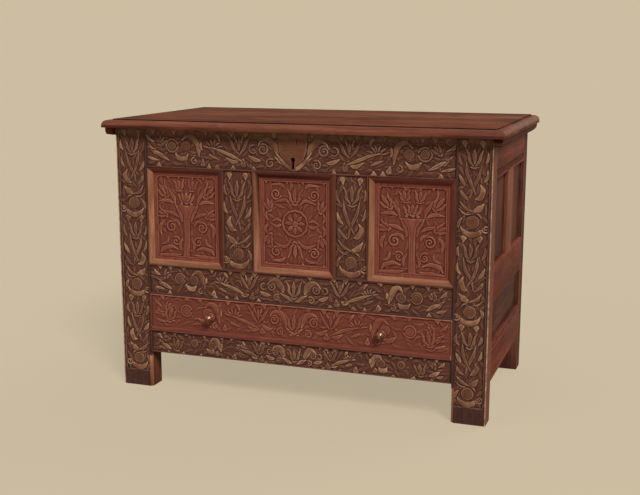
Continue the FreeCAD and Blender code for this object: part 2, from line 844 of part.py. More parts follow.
def lock():
    wide = about("0", "lock_wide")
    y = ("rail_thick", "rail_thick + lock_deep")
    winged = block(about("0", "lock_wide + 2 * lock_wing"), ("rail_thick", "rail_thick + lock_wall"),
                   (LOCK_LOW, LOCK_HIGH))
    shell = fuse(block(wide, y, (LOCK_LOW, LOCK_HIGH)), winged)
    inner_x = about("0", "lock_wide - 2 * lock_wall")
    inner_y = ("rail_thick - overrun", "rail_thick + lock_deep - lock_wall")
    hollow = block(inner_x, inner_y, grown(LOCK_LOW, LOCK_HIGH, "(-lock_wall)"))
    slot_x = about("0", "staple_thick + 2 * staple_gap")
    slot_y = about(BOLT_Y, "staple_eye_wide + 2 * staple_thick + 2 * staple_gap")
    slot = block(slot_x, slot_y, (f"{LOCK_HIGH} - lock_wall - overrun", f"{LOCK_HIGH} + overrun"))
    guides = []
    tip = "-bolt_rest - bolt_gap"
    tail = "-bolt_rest - bolt_wide + bolt_travel"
    for low in (f"{tail} + bolt_gap", f"{tip} - guide_wide - guide_wall"):
        x = (low, f"{low} + guide_wide")
        z = grown(*about(BOLT_Z, "bolt_tall"), "bolt_gap")
        bar_y = (f"{BOLT_Y} - bolt_thick / 2 - bolt_gap - guide_wall", inner_y[1])
        bar = block(x, bar_y, grown(*z, "guide_wall"))
        window = block(grown(*x, "overrun"), grown(*about(BOLT_Y, "bolt_thick"), "bolt_gap"), z)
        guides.append(cut(bar, window))
    holes = [nail_hole("y", -1, at, "nail_short") for at in lock_nails()]
    return fuse(cut(shell, hollow, slot, *holes), *guides)


keep(lock(), "lock_case", "front")
keep(group(*[nail("y", -1, at, "nail_short") for at in lock_nails()]), "lock_nails", "front")

bar = block(("-bolt_rest - bolt_wide", "-bolt_rest"), about(BOLT_Y, "bolt_thick"), about(BOLT_Z, "bolt_tall"))
talon_z = (f"{BOLT_Z} - bolt_tall / 2 - talon_tall", f"{BOLT_Z}")
talon = block(about("-bolt_rest - bolt_wide / 2", "talon_wide"), about(BOLT_Y, "bolt_thick"), talon_z)
keep(fuse(bar, talon), "lock_bolt", "front")

loop_z = (f"{BOLT_Z} - bolt_tall / 2 - staple_eye_under - staple_thick", LID_LOW)
loop = block(about("0", "staple_thick"), about(BOLT_Y, "staple_eye_wide + 2 * staple_thick"), loop_z)
eye_z = (f"{loop_z[0]} + staple_thick", f"{BOLT_Z} + bolt_tall / 2 + staple_eye_under")
eye = block(grown(*about("0", "staple_thick"), "overrun"), about(BOLT_Y, "staple_eye_wide"), eye_z)
plate = block(plate_x, plate_y, (LID_LOW, f"{LID_LOW} + staple_plate_thick"))
holes = group(*[nail_hole("z", 1, at, "nail_short") for at in staple_nails])
bind(holes, "Placement.Base.z", LID_LOW)
keep(cut(fuse(loop, plate), eye, holes), "lid_staple", "front")

# Drawer and its runners

DRAWER_HALF = f"({FRONT_SPAN} / 2 - drawer_gap)"
SIDE_INNER = f"({DRAWER_HALF} - drawer_side_thick)"
BOARD_LOW = f"({DRAWER_LOW} + drawer_gap)"
BOARD_HIGH = f"({BOARD_LOW} + drawer_bottom_thick)"
FRONT_HIGH = f"({DRAWER_HIGH} - drawer_gap)"
SIDE_HIGH = f"({FRONT_HIGH} - drawer_side_drop)"
REBATE_Y = "(drawer_front_thick - drawer_rebate)"
KNOB_Z = f"(({DRAWER_LOW} + {DRAWER_HIGH}) / 2)"

NAIL_YS = (f"({REBATE_Y} + drawer_rebate / 2)", f"({DRAWER_LONG} - drawer_back_thick / 2)")
board_wide = f"(2 * {DRAWER_HALF} / drawer_boards)"
bottom_lows = [f"-{DRAWER_HALF} + {index} * {board_wide}" for index in range(int(value("drawer_boards")))]
box_nails = []
for nail_y in NAIL_YS:
    for low in bottom_lows:
        box_nails.append(("z", 1, (f"{low} + {board_wide} / 2", nail_y, BOARD_LOW)))
    for side in (-1, 1):
        for z in (f"{BOARD_HIGH} + drawer_nail_in", f"{SIDE_HIGH} - drawer_nail_in"):
            box_nails.append(("x", -side, (f"{side} * {DRAWER_HALF}", nail_y, z)))
box_holes = [nail_hole(*spec) for spec in box_nails]
keep(group(*[nail(*spec) for spec in box_nails]), "drawer_nails", "front")

face = block((f"-{DRAWER_HALF}", DRAWER_HALF), ("0", "drawer_front_thick"), (BOARD_LOW, FRONT_HIGH))
back_of_face = (REBATE_Y, "drawer_front_thick + overrun")
rebate_z = grown(BOARD_LOW, FRONT_HIGH, "overrun")
rebates = [
    block(on_side(side, SIDE_INNER, f"{DRAWER_HALF} + overrun"), back_of_face, rebate_z)
    for side in (-1, 1)
]
rebates.append(block((f"-{DRAWER_HALF}", DRAWER_HALF), back_of_face, (f"{BOARD_LOW} - overrun", BOARD_HIGH)))
through = grown("0", "drawer_front_thick", "overrun")
knob_holes = [
    rod("y", "knob_stem + fit_gap", f"{side} * {KNOB_PLACE}", through, KNOB_Z, "pin_sides")
    for side in (-1, 1)
]
keep(cut(face, *rebates, *knob_holes, *box_holes), "drawer_front", "front")

for side, hand in ((-1, "left"), (1, "right")):
    cheek_x = on_side(side, SIDE_INNER, DRAWER_HALF)
    cheek = block(cheek_x, (REBATE_Y, DRAWER_LONG), (BOARD_HIGH, SIDE_HIGH))
    slot_x = on_side(side, f"{DRAWER_HALF} - run_groove", f"{DRAWER_HALF} + overrun")
    slot_y = (REBATE_Y, f"{DRAWER_LONG} + overrun")
    slot = block(slot_x, slot_y, grown(RUNNER_LOW, RUNNER_HIGH, "run_gap"))
    keep(cut(cheek, slot, *box_holes), f"drawer_side_{hand}", "front")
    runner_in = f"{DRAWER_HALF} - run_groove + run_gap"
    runner_x = on_side(side, runner_in, f"{FRONT_SPAN} / 2 + runner_seat - fit_gap")
    strip = block(runner_x, (RUNNER_FRONT, RUNNER_REAR), (RUNNER_LOW, RUNNER_HIGH))
    keep(group(strip), f"drawer_runner_{hand}", "front")

back_y = (f"{DRAWER_LONG} - drawer_back_thick", DRAWER_LONG)
rear_board = block((f"-{SIDE_INNER}", SIDE_INNER), back_y, (BOARD_HIGH, SIDE_HIGH))
keep(cut(rear_board, *box_holes), "drawer_back", "front")

bottoms = []
for low in bottom_lows:
    x = (low, f"{low} + {board_wide} - board_gap")
    bottoms.append(block(x, (REBATE_Y, DRAWER_LONG), (BOARD_LOW, BOARD_HIGH)))
keep(cut(group(*bottoms), *box_holes), "drawer_bottom", "front")


def knob(x):
    """A turned knob with a foot, a neck, a crowned head and a stem through the drawer front."""
    head_low = "-knob_long + knob_crown + knob_head_thick"
    turned = [
        ("knob_foot", "-knob_foot_thick", "0"),
        ("knob_neck", head_low, "-knob_foot_thick"),
        ("knob_radius", "-knob_long + knob_crown", head_low),
        ("knob_crown_radius", "-knob_long", "-knob_long + knob_crown"),
    ]
    rings = [rod("y", radius, x, (low, high), KNOB_Z, "turned_sides") for radius, low, high in turned]
    stem = rod("y", "knob_stem", x, ("0", "drawer_front_thick"), KNOB_Z, "pin_sides")
    return fuse(stem, *rings)


for side, hand in ((-1, "left"), (1, "right")):
    keep(knob(f"{side} * {KNOB_PLACE}"), f"drawer_knob_{hand}", "front")

# Tests and files

doc.recompute()
for item in doc.Objects:
    if {"Invalid", "Error"} & set(item.State):
        raise RuntimeError(f"{item.Name} did not build: {item.State}")
for piece in parts:
    if piece.Shape.isNull() or not piece.Shape.isValid() or not piece.Shape.Solids:
        raise RuntimeError(f"{piece.Label} has no sound shape")

os.makedirs("parts", exist_ok=True)
for piece in parts:
    piece.Shape.exportStep(f"parts/{piece.Label}.step")

whole = Part.makeCompound([piece.Shape for piece in parts]).BoundBox
lows = f"{whole.XMin:.2f} {whole.YMin:.2f} {whole.ZMin:.2f}"
highs = f"{whole.XMax:.2f} {whole.YMax:.2f} {whole.ZMax:.2f}"
print(f"{len(parts)} nodes, {sum(len(piece.Shape.Solids) for piece in parts)} solids")
print(f"box {lows} to {highs}")
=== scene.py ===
import json
from math import cos, pi, radians, sin
import bmesh
import bpy
import numpy as np
from mathutils import Matrix, Vector


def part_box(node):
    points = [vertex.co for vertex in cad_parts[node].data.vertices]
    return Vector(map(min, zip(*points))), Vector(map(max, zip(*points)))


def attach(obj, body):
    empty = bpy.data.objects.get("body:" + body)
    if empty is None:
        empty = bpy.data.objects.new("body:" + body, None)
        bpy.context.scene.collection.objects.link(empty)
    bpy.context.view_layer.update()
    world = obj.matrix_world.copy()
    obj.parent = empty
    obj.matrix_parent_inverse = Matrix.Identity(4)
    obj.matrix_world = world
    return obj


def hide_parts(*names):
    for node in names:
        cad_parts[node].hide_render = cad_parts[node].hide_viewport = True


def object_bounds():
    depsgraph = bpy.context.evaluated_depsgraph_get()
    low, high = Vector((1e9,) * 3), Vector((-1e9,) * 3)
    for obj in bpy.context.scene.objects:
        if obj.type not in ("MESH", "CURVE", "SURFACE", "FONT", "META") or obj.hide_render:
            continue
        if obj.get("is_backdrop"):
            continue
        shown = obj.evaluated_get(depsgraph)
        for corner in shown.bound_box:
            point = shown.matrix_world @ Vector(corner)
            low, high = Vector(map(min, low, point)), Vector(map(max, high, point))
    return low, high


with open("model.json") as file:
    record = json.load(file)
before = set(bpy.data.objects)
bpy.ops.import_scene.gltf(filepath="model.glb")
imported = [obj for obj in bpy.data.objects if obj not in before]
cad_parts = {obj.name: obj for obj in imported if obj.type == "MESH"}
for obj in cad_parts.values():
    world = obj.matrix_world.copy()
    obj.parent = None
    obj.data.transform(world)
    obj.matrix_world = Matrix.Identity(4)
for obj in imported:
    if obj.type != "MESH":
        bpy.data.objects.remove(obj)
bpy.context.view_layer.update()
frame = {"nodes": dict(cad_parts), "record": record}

nodes = frame["nodes"]
scene = bpy.context.scene
print("frame loaded:", len(nodes), "nodes")


# camera and lights

cameraView = {
    "lens": 57.67,          # on a 36 mm wide sensor
    "yaw": 19.54,           # degrees to the right of straight on
    "pitch": 11.17,         # degrees above level
    "distance": 3.2262,
    "target": (-0.0256, 0.004, 0.4107),
}
yaw, pitch = radians(cameraView["yaw"]), radians(cameraView["pitch"])
looking = Vector((-sin(yaw) * cos(pitch), cos(yaw) * cos(pitch), -sin(pitch)))
bpy.ops.object.camera_add(location=Vector(cameraView["target"]) - looking * cameraView["distance"])
camera = bpy.context.object
camera.rotation_euler = looking.to_track_quat("-Z", "Y").to_euler()
camera.data.lens = cameraView["lens"]
camera.data.sensor_width = 36
scene.camera = camera
scene.view_settings.view_transform = "Standard"

lamps = {       # suns: the way they shine, how strong, and how wide in degrees
    "key": {"shines": (-0.46, 0.55, -0.7), "power": 2.9, "wide": 20},
    "fill": {"shines": (0.7, 0.65, -0.3), "power": 0.35, "wide": 60},
    "back": {"shines": (-0.5, -0.7, -0.42), "power": 0.8, "wide": 50},
}
for name, lamp in lamps.items():
    bpy.ops.object.light_add(type="SUN", location=(0, 0, 4))
    light = bpy.context.object
    light.name = "lamp_" + name
    light.data.energy = lamp["power"]
    light.data.angle = radians(lamp["wide"])
    light.rotation_euler = Vector(lamp["shines"]).to_track_quat("-Z", "Y").to_euler()


# material tools

def colour(red, green, blue):
    shares = [c / 255 for c in (red, green, blue)]
    linear = [c / 12.92 if c <= 10 / 255 else ((c + 0.055) / 1.055) ** 2.4 for c in shares]
    return (*linear, 1.0)


def newMaterial(name, shine=0.5):
    material = bpy.data.materials.new(name)
    material.use_nodes = True
    shader = material.node_tree.nodes["Principled BSDF"]
    shader.inputs["Specular IOR Level"].default_value = shine
    shader.inputs["IOR"].default_value = 1.5 if shine > 0.4 else 1.3
    return material, material.node_tree, shader


def addNode(tree, kind, inputs=None, **settings):
    made = tree.nodes.new("ShaderNode" + kind)
    for key, setting in settings.items():
        setattr(made, key, setting)
    for key, source in (inputs or {}).items():
        if isinstance(source, bpy.types.NodeSocket):
            tree.links.new(source, made.inputs[key])
        else:
            made.inputs[key].default_value = source
    return made


def mixColours(tree, share, first, second):
    return addNode(tree, "Mix", {0: share, 6: first, 7: second}, data_type="RGBA").outputs[2]


def spread(tree, source, low, high, toLow=0.0, toHigh=1.0):
    ranged = addNode(tree, "MapRange", {"Value": source, "From Min": low, "From Max": high,
                                        "To Min": toLow, "To Max": toHigh})
    return ranged.outputs["Result"]


def maths(tree, action, first, second):
    return addNode(tree, "Math", {0: first, 1: second}, operation=action).outputs[0]


def noise(tree, where, scale, detail=3.0, distortion=0.0):
    settings = {"Vector": where, "Scale": scale, "Detail": detail, "Distortion": distortion}
    return addNode(tree, "TexNoise", settings).outputs["Fac"]


def grainPlace(tree, along, stretch):
    place = addNode(tree, "TexCoord").outputs["Object"]
    scale = [stretch if axis == along else 1.0 for axis in "xyz"]
    return place, addNode(tree, "Mapping", {"Vector": place, "Scale": scale}).outputs["Vector"]


def finishLook(material, tone, roughness, relief, strength, distance):
    tree = material.node_tree
    bump = addNode(tree, "Bump", {"Height": relief, "Strength": strength, "Distance": distance})
    for key, source in (("Base Color", tone), ("Roughness", roughness), ("Normal", bump.outputs["Normal"])):
        tree.links.new(source, tree.nodes["Principled BSDF"].inputs[key])
    return material


def woodLook(name, look, along):
    material, tree, _ = newMaterial(name + "_" + along, look["shine"])
    place, grained = grainPlace(tree, along, 0.07)
    dark, light, deep, stained = (colour(*tone) for tone in look["tones"])
    broad = noise(tree, grained, look["broad"], 2, 0.8)
    fine = noise(tree, grained, look["fine"], 6, 1.2)
    streaks = noise(tree, grained, look["streaks"], 4, 1.4)
    pores = noise(tree, grained, 620, 3)
    stains = noise(tree, place, 7, 4, 0.5)
    grain = maths(tree, "ADD", maths(tree, "MULTIPLY", streaks, 0.6), maths(tree, "MULTIPLY", fine, 0.4))
    tone = mixColours(tree, spread(tree, grain, 0.37, 0.62), dark, light)
    tone = mixColours(tree, spread(tree, broad, 0.4, 0.66, 0.0, look["patches"]), tone, deep)
    tone = mixColours(tree, spread(tree, pores, 0.56, 0.66, 0.0, 0.5), tone, deep)
    tone = mixColours(tree, spread(tree, stains, 0.45, 0.75, 0.0, look["stain"]), tone, stained)
    relief = maths(tree, "ADD", fine, maths(tree, "MULTIPLY", pores, -0.8))
    return finishLook(material, tone, spread(tree, fine, 0.3, 0.7, *look["roughness"]), relief, 0.35, 0.0006)


def carvedLook(name, look, along):
    material, tree, _ = newMaterial(name + "_" + along, look["shine"])
    place, grained = grainPlace(tree, along, 0.12)
    tones = {key: colour(*look[key]) for key in look if key not in ("roughness", "shine")}
    fine = noise(tree, grained, 170, 6, 1.0)
    rubbed = noise(tree, place, 55, 5, 0.6)
    patchy = noise(tree, place, 12, 3, 0.4)
    faded = noise(tree, place, 32, 5, 0.8)
    carving = addNode(tree, "Attribute", attribute_name="carving").outputs["Color"]
    parts = addNode(tree, "SeparateColor", {"Color": carving})
    paint, tint, dirt = (parts.outputs[key] for key in ("Red", "Green", "Blue"))
    ground = mixColours(tree, spread(tree, fine, 0.3, 0.7), tones["dark"], tones["light"])
    ground = mixColours(tree, spread(tree, patchy, 0.4, 0.7, 0.0, 0.7), ground, tones["ground"])
    leaf = mixColours(tree, spread(tree, tint, 0.0, 0.5), tones["pale"], tones["tan"])
    leaf = mixColours(tree, spread(tree, tint, 0.5, 1.0), leaf, tones["olive"])
    leaf = mixColours(tree, spread(tree, faded, 0.4, 0.62, 0.0, 0.85), leaf, tones["worn"])
    share = maths(tree, "MULTIPLY", paint, spread(tree, rubbed, 0.25, 0.5, 0.75, 1.0))
    # darkened where the dirt layer says: dirt, and painted shade in the hollows
    tone = mixColours(tree, dirt, mixColours(tree, share, ground, leaf), tones["dirt"])
    # paler where the attribute says: paint rubbed off ridges and arrises, a painted highlight on the ridges,
    # and painted light in a few bands
    edges = addNode(tree, "Attribute", attribute_name="rubbed").outputs["Fac"]
    edges = maths(tree, "MULTIPLY", edges, spread(tree, rubbed, 0.35, 0.6, 0.35, 1.0))
    tone = mixColours(tree, edges, tone, tones["edge"])
    relief = maths(tree, "ADD", fine, maths(tree, "MULTIPLY", rubbed, 0.6))
    return finishLook(material, tone, spread(tree, rubbed, 0.3, 0.7, *look["roughness"]), relief, 0.4, 0.0007)


def metalLook(name, look):
    material, tree, shader = newMaterial(name)
    patchy = noise(tree, addNode(tree, "TexCoord").outputs["Object"], look["scale"], 5, 0.3)
    tone = mixColours(tree, spread(tree, patchy, 0.4, 0.65), colour(*look["clean"]), colour(*look["aged"]))
    shader.inputs["Metallic"].default_value = look["metallic"]
    roughness = spread(tree, patchy, 0.35, 0.65, *look["roughness"])
    return finishLook(material, tone, roughness, patchy, 0.3, 0.0005)


# in the carved finishes the darkest colour darkens the hollows, for dirt and for painted shade, and the edge
# colour pales the ridges, for rubbed paint and a painted highlight
finishes = {
    "frame": {"dark": (80, 46, 34), "light": (116, 72, 52), "ground": (98, 56, 42), "pale": (164, 124, 98),
              "tan": (150, 106, 74), "olive": (126, 102, 62), "worn": (108, 68, 50), "edge": (192, 148, 114),
              "dirt": (38, 32, 36), "roughness": (0.5, 0.75), "shine": 0.12},
    "panel": {"dark": (110, 54, 42), "light": (138, 78, 60), "ground": (122, 64, 52), "pale": (156, 98, 78),
              "tan": (144, 86, 64), "olive": (132, 86, 58), "worn": (126, 68, 54), "edge": (186, 126, 100),
              "dirt": (56, 28, 26), "roughness": (0.5, 0.75), "shine": 0.12},
    "iron": {"clean": (64, 60, 58), "aged": (62, 40, 30), "metallic": 0.8, "roughness": (0.45, 0.75),
             "scale": 60},
    "brass": {"clean": (150, 108, 80), "aged": (88, 60, 40), "metallic": 0.75, "roughness": (0.25, 0.45),
              "scale": 90},
}
usualWood = {"broad": 16, "fine": 150, "streaks": 42, "patches": 0.5, "stain": 0.35}
woods = {       # dark, light, deep, stained, roughness and shine, and what isn't usual
    # a lighter copy of the strip wood: painted highlight for the strips that face the light
    "strip": ((120, 74, 54), (164, 112, 84), (104, 60, 44), (92, 52, 40), (0.4, 0.6), 0.2, {"fine": 120}),
    # a darker copy of the strip wood: painted shade for the strips turned from the light
    "strip_red": ((84, 42, 32), (116, 62, 46), (72, 38, 30), (60, 34, 28), (0.45, 0.65), 0.15, {"fine": 120}),
    "lid": ((88, 43, 31), (132, 77, 55), (68, 34, 26), (58, 34, 28),
            (0.5, 0.7), 0.04, {"fine": 80, "broad": 5, "streaks": 24, "stain": 0.7, "patches": 0.7}),
    # a lighter copy of the lid's wood: painted highlight on the round of the nose
    "nose": ((94, 50, 38), (128, 76, 58), (76, 40, 30), (66, 37, 29), (0.4, 0.6), 0.15, {}),
    "end": ((72, 40, 32), (112, 66, 51), (52, 32, 28), (48, 32, 30),
            (0.5, 0.7), 0.06, {"broad": 9, "stain": 0.5, "patches": 0.7}),
    "rail": ((96, 45, 32), (136, 70, 51), (66, 33, 25), (58, 32, 27),
             (0.5, 0.7), 0.06, {"broad": 9, "stain": 0.5, "patches": 0.5}),
    "post": ((98, 51, 39), (136, 81, 62), (74, 42, 33), (62, 38, 31),
             (0.45, 0.65), 0.1, {"broad": 9, "patches": 0.4}),
    "shade": ((40, 24, 22), (58, 34, 28), (32, 20, 18), (30, 20, 18), (0.7, 0.9), 0.02, {}),
    "worn": ((130, 82, 60), (172, 114, 84), (110, 64, 46), (96, 56, 42), (0.45, 0.65), 0.15, {}),
    "plain": ((128, 92, 60), (166, 126, 84), (104, 72, 46), (96, 72, 52), (0.65, 0.85), 0.1, {}),
    "inside": ((104, 68, 46), (142, 98, 66), (82, 52, 36), (70, 48, 36), (0.6, 0.8), 0.08, {"patches": 0.6}),
    "bare": ((170, 110, 78), (206, 142, 106), (140, 86, 60), (120, 74, 54), (0.5, 0.7), 0.15, {}),
}
looks = {}
for along in "xyz":     # the way the grain runs
    looks["frame_" + along] = carvedLook("old_painted_oak", finishes["frame"], along)
    looks["panel_" + along] = carvedLook("red_painted_oak", finishes["panel"], along)
    for name, (*tones, roughness, shine, changes) in woods.items():
        look = {**usualWood, **changes, "tones": tones, "roughness": roughness, "shine": shine}
        looks[name + "_" + along] = woodLook(name + "_wood", look, along)
looks["iron"] = metalLook("wrought_iron", finishes["iron"])
looks["brass"] = metalLook("dull_brass", finishes["brass"])
print("materials made:", len(looks))


# floor and backdrop

backdrop = {"floor": (194, 180, 154), "bounce": (150, 134, 112), "seen": 1.128, "glow": 0.7, "strength": 0.34}


def clearRays(tree):        # rays that show the background itself
    rays = addNode(tree, "LightPath")
    clear = maths(tree, "MAXIMUM", rays.outputs["Is Camera Ray"], rays.outputs["Is Glossy Ray"])
    return maths(tree, "MAXIMUM", clear, rays.outputs["Is Transmission Ray"])


bpy.ops.mesh.primitive_plane_add(size=60, location=(0, 0, 0))
floor = bpy.context.object
floor.name = "floor"
floorMaterial, tree, shader = newMaterial("pale_floor", 0.0)
clear = clearRays(tree)
tone = mixColours(tree, clear, colour(*backdrop["bounce"]), colour(*backdrop["floor"]))
tree.links.new(tone, shader.inputs["Base Color"])
shader.inputs["Roughness"].default_value = 0.9
glow = addNode(tree, "Emission", {"Color": colour(*backdrop["floor"]), "Strength": backdrop["seen"]})
share = maths(tree, "MULTIPLY", clear, backdrop["glow"])
mixed = addNode(tree, "MixShader", {0: share, 1: shader.outputs[0], 2: glow.outputs[0]})
tree.links.new(mixed.outputs[0], tree.nodes["Material Output"].inputs["Surface"])
floor.data.materials.append(floorMaterial)
floor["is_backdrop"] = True
world = scene.world or bpy.data.worlds.new("studio")
scene.world = world
world.use_nodes = True
tree = world.node_tree
light = tree.nodes["Background"]
light.inputs["Color"].default_value = (1, 1, 1, 1)
light.inputs["Strength"].default_value = backdrop["strength"]
seen = addNode(tree, "Background", {"Color": colour(*backdrop["floor"]), "Strength": backdrop["seen"]})
mixed = addNode(tree, "MixShader", {0: clearRays(tree), 1: light.outputs[0], 2: seen.outputs[0]})
tree.links.new(mixed.outputs[0], tree.nodes["World Output"].inputs["Surface"])
print("camera, lamps and floor set")


# pieces that start from a node

bodyOf = {name: body for body, names in frame["record"]["behaviour"]["bodies"].items() for name in names}


def selectOnly(*objects):
    bpy.ops.object.select_all(action="DESELECT")
    for item in objects:
        item.select_set(True)
    bpy.context.view_layer.objects.active = objects[0]


def copyNode(node, name, cuts=()):
    piece = nodes[node].copy()
    piece.data = nodes[node].data.copy()
    piece.name = piece.data.name = name
    piece.parent = None
    piece.matrix_world = Matrix.Identity(4)
    scene.collection.objects.link(piece)
    mesh = bmesh.new()
    mesh.from_mesh(piece.data)
    bmesh.ops.remove_doubles(mesh, verts=mesh.verts, dist=0.00002)
    bmesh.ops.dissolve_limit(mesh, angle_limit=radians(1), verts=mesh.verts, edges=mesh.edges)
    for spot, normal in cuts:       # lines where the finish changes
        everything = mesh.verts[:] + mesh.edges[:] + mesh.faces[:]
        bmesh.ops.bisect_plane(mesh, geom=everything, plane_co=spot, plane_no=normal)
    mesh.normal_update()
    return piece, mesh


def settle(piece, node, *materials):
    chosen = [face.material_index for face in piece.data.polygons]
    piece.data.materials.clear()        # this also forgets each face's choice
    for material in materials:
        piece.data.materials.append(material)
    piece.data.polygons.foreach_set("material_index", chosen)
    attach(piece, bodyOf[node])
    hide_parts(node)


def easedCopy(node, materials, edge, sort=None, rounded=None, radius=0.0, cuts=(), touch=None):
    piece, mesh = copyNode(node, node + "_eased", cuts)
    for face in mesh.faces:
        face.material_index = sort(face.calc_center_median() * 1000, face.normal) if sort else 0
    if rounded:
        chosen = [link for link in mesh.edges if all(rounded(v.co * 1000) for v in link.verts)]
        bmesh.ops.bevel(mesh, geom=chosen, offset=radius, segments=6, profile=0.5, affect="EDGES",
                        offset_type="OFFSET")
    mesh.to_mesh(piece.data)
    mesh.free()
    settle(piece, node, *materials)
    selectOnly(piece)
    bevel = piece.modifiers.new("edges", "BEVEL")
    bevel.width = edge
    bevel.segments = 2
    bevel.limit_method = "ANGLE"
    bevel.angle_limit = radians(40)
    bevel.material = len(materials) - 1         # the last one is the worn edge
    bpy.ops.object.modifier_apply(modifier=bevel.name)
    for face in piece.data.polygons if touch else ():
        face.material_index = touch(face.center * 1000, face.material_index)
    bpy.ops.object.shade_smooth_by_angle(angle=radians(35))


# relief carving: a board is a grid of heights, 0 at the ground and 1 at the face, in millimetres

carvingTool = {
    "pitch": 1.4, "groundDepth": 3.2, "edge": 1.3, "gap": 2.0,
    "unsteady": 0.9,                            # how far the hand strays
    "wear": (0.5, 1.15), "contrast": 1.35,      # how unevenly the paint has lasted
}
boardGap = 0.7          # triangles fill this gap round the grid
footTop = 0.15          # below it, the inner sides of the stiles are feet
grooveSide = 0.5525     # from here inwards the wood was never painted
stileCuts = [((0, 0, footTop), (0, 0, 1)), ((grooveSide, 0, 0), (1, 0, 0)), ((-grooveSide, 0, 0), (1, 0, 0))]
chance = np.random.default_rng(7)


def newBoard(low, high):
    columns, rows = (int(round((b - a) / carvingTool["pitch"])) + 1 for a, b in zip(low, high))
    board = {"xs": np.linspace(low[0], high[0], columns), "zs": np.linspace(low[1], high[1], rows)}
    board["x"], board["z"] = np.meshgrid(board["xs"], board["zs"])
    for layer in ("height", "paint", "tint", "grime", "bare"):
        board[layer] = np.zeros((rows, columns))
    return board


def placer(at, scale=1.0, side=1, turn=0.0):
    c, s = cos(radians(turn)), sin(radians(turn))

    def place(points):
        placed = []
        for x, z in points:
            x, z = scale * (c * x - s * z), scale * (s * x + c * z)
            placed.append((at[0] + side * x, at[1] + z))
        return placed
    return place


tool = {}


def hold(board, at=(0, 0), scale=1.0, side=1, turn=0.0, gain=1.0):      # gain: how much paint it has
    tool.update(board=board, place=placer(at, scale, side, turn), gain=gain)


def ease(low, high, values):
    share = np.clip((values - low) / (high - low), 0, 1)
    return share * share * (3 - 2 * share)


def curveThrough(points, steps):
    points = np.array(points, float)
    if len(points) == 2:
        return points, np.array([0.0, 1.0])
    padded = np.vstack([2 * points[0] - points[1], points, 2 * points[-1] - points[-2]])
    line, knots = [], []
    for index in range(len(points) - 1):
        a, b, c, d = padded[index:index + 4]
        for t in np.arange(steps) / steps:
            bent = (2 * a - 5 * b + 4 * c - d) * t ** 2 + (3 * b - a - 3 * c + d) * t ** 3
            line.append(0.5 * (2 * b + (c - a) * t + bent))
            knots.append((index + t) / (len(points) - 1))
    return np.array(line + [points[-1]]), np.array(knots + [1.0])


def nearLine(board, line, halves, reach):       # distances on the grid from a line of changing width
    xs, zs = board["xs"], board["zs"]
    i0, i1 = np.searchsorted(xs, [line[:, 0].min() - reach, line[:, 0].max() + reach])
    j0, j1 = np.searchsorted(zs, [line[:, 1].min() - reach, line[:, 1].max() + reach])
    if i1 - i0 < 2 or j1 - j0 < 2:
        return None
    window = (slice(j0, j1), slice(i0, i1))
    x, z = board["x"][window], board["z"][window]
    best = np.full(x.shape, 1e9)
    away, half = np.zeros_like(x), np.ones_like(x)
    for (ax, az), (bx, bz), wide, nextWide in zip(line[:-1], line[1:], halves[:-1], halves[1:]):
        length = max((bx - ax) ** 2 + (bz - az) ** 2, 1e-9)
        t = np.clip(((x - ax) * (bx - ax) + (z - az) * (bz - az)) / length, 0, 1)
        distance = np.hypot(x - ax - t * (bx - ax), z - az - t * (bz - az))
        local = wide + t * (nextWide - wide)
        nearer = distance - local < best
        best = np.where(nearer, distance - local, best)
        away = np.where(nearer, distance, away)
        half = np.where(nearer, local, half)
    return window, best, away, half


def stroke(points, widths, paint=0.0, level=0.9, rib=0.0, crown=0.35, tint=None, steps=6, gap=None):
    board, points = tool["board"], tool["place"](points)
    if steps > 1:       # the hand is never quite steady
        points = np.array(points, float) + chance.normal(0, carvingTool["unsteady"], (len(points), 2))
    paint = min(1, (paint * tool["gain"] * chance.uniform(*carvingTool["wear"])) ** carvingTool["contrast"])
    line, knots = curveThrough(points, steps)
    halves = np.interp(knots, np.linspace(0, 1, len(widths)), widths)
    near = nearLine(board, line, halves, max(widths) + 4)
    if near is None:
        return
    window, best, away, half = near
    shape = level * (1 - crown * np.clip(away / np.maximum(half, 0.5), 0, 1) ** 2)
    if rib:
        shape -= rib * np.exp(-(away / 0.9) ** 2)
    edge, gap = carvingTool["edge"], carvingTool["gap"] if gap is None else gap
    inside = ease(edge / 2, -edge / 2, best)
    beside = ease(gap + edge / 2, edge / 2, best) if gap else 0
    tint = chance.random() if tint is None else tint
    for layer, new in (("height", shape), ("paint", paint)):
        under = board[layer][window] * (1 - beside)
        board[layer][window] = under * (1 - inside) + new * inside
    board["tint"][window] = np.where(best < edge, tint, board["tint"][window])


def groove(points, wide=0.8, deep=0.5, steps=6):
    board = tool["board"]
    line, _ = curveThrough(tool["place"](points), steps)
    near = nearLine(board, line, np.zeros(len(line)), wide * 3 + 1)
    if near is None:
        return
    window, best = near[:2]
    cut = deep * np.exp(-(best / wide) ** 2)
    board["height"][window] = np.maximum(board["height"][window] - cut, 0)
    board["paint"][window] *= 1 - 0.8 * cut / deep


def coat(board, low, high, soft=1.2, **layers):
    x, z = board["x"], board["z"]
    outside = np.maximum.reduce([low[0] - x, x - high[0], low[1] - z, z - high[1]])
    inside = ease(soft / 2, -soft / 2, outside)
    for layer, new in layers.items():
        board[layer] = board[layer] * (1 - inside) + new * inside


def plateau(board, low, high, level=1.0, paint=0.0, soft=1.2, **layers):
    coat(board, low, high, soft, height=level, paint=paint, **layers)


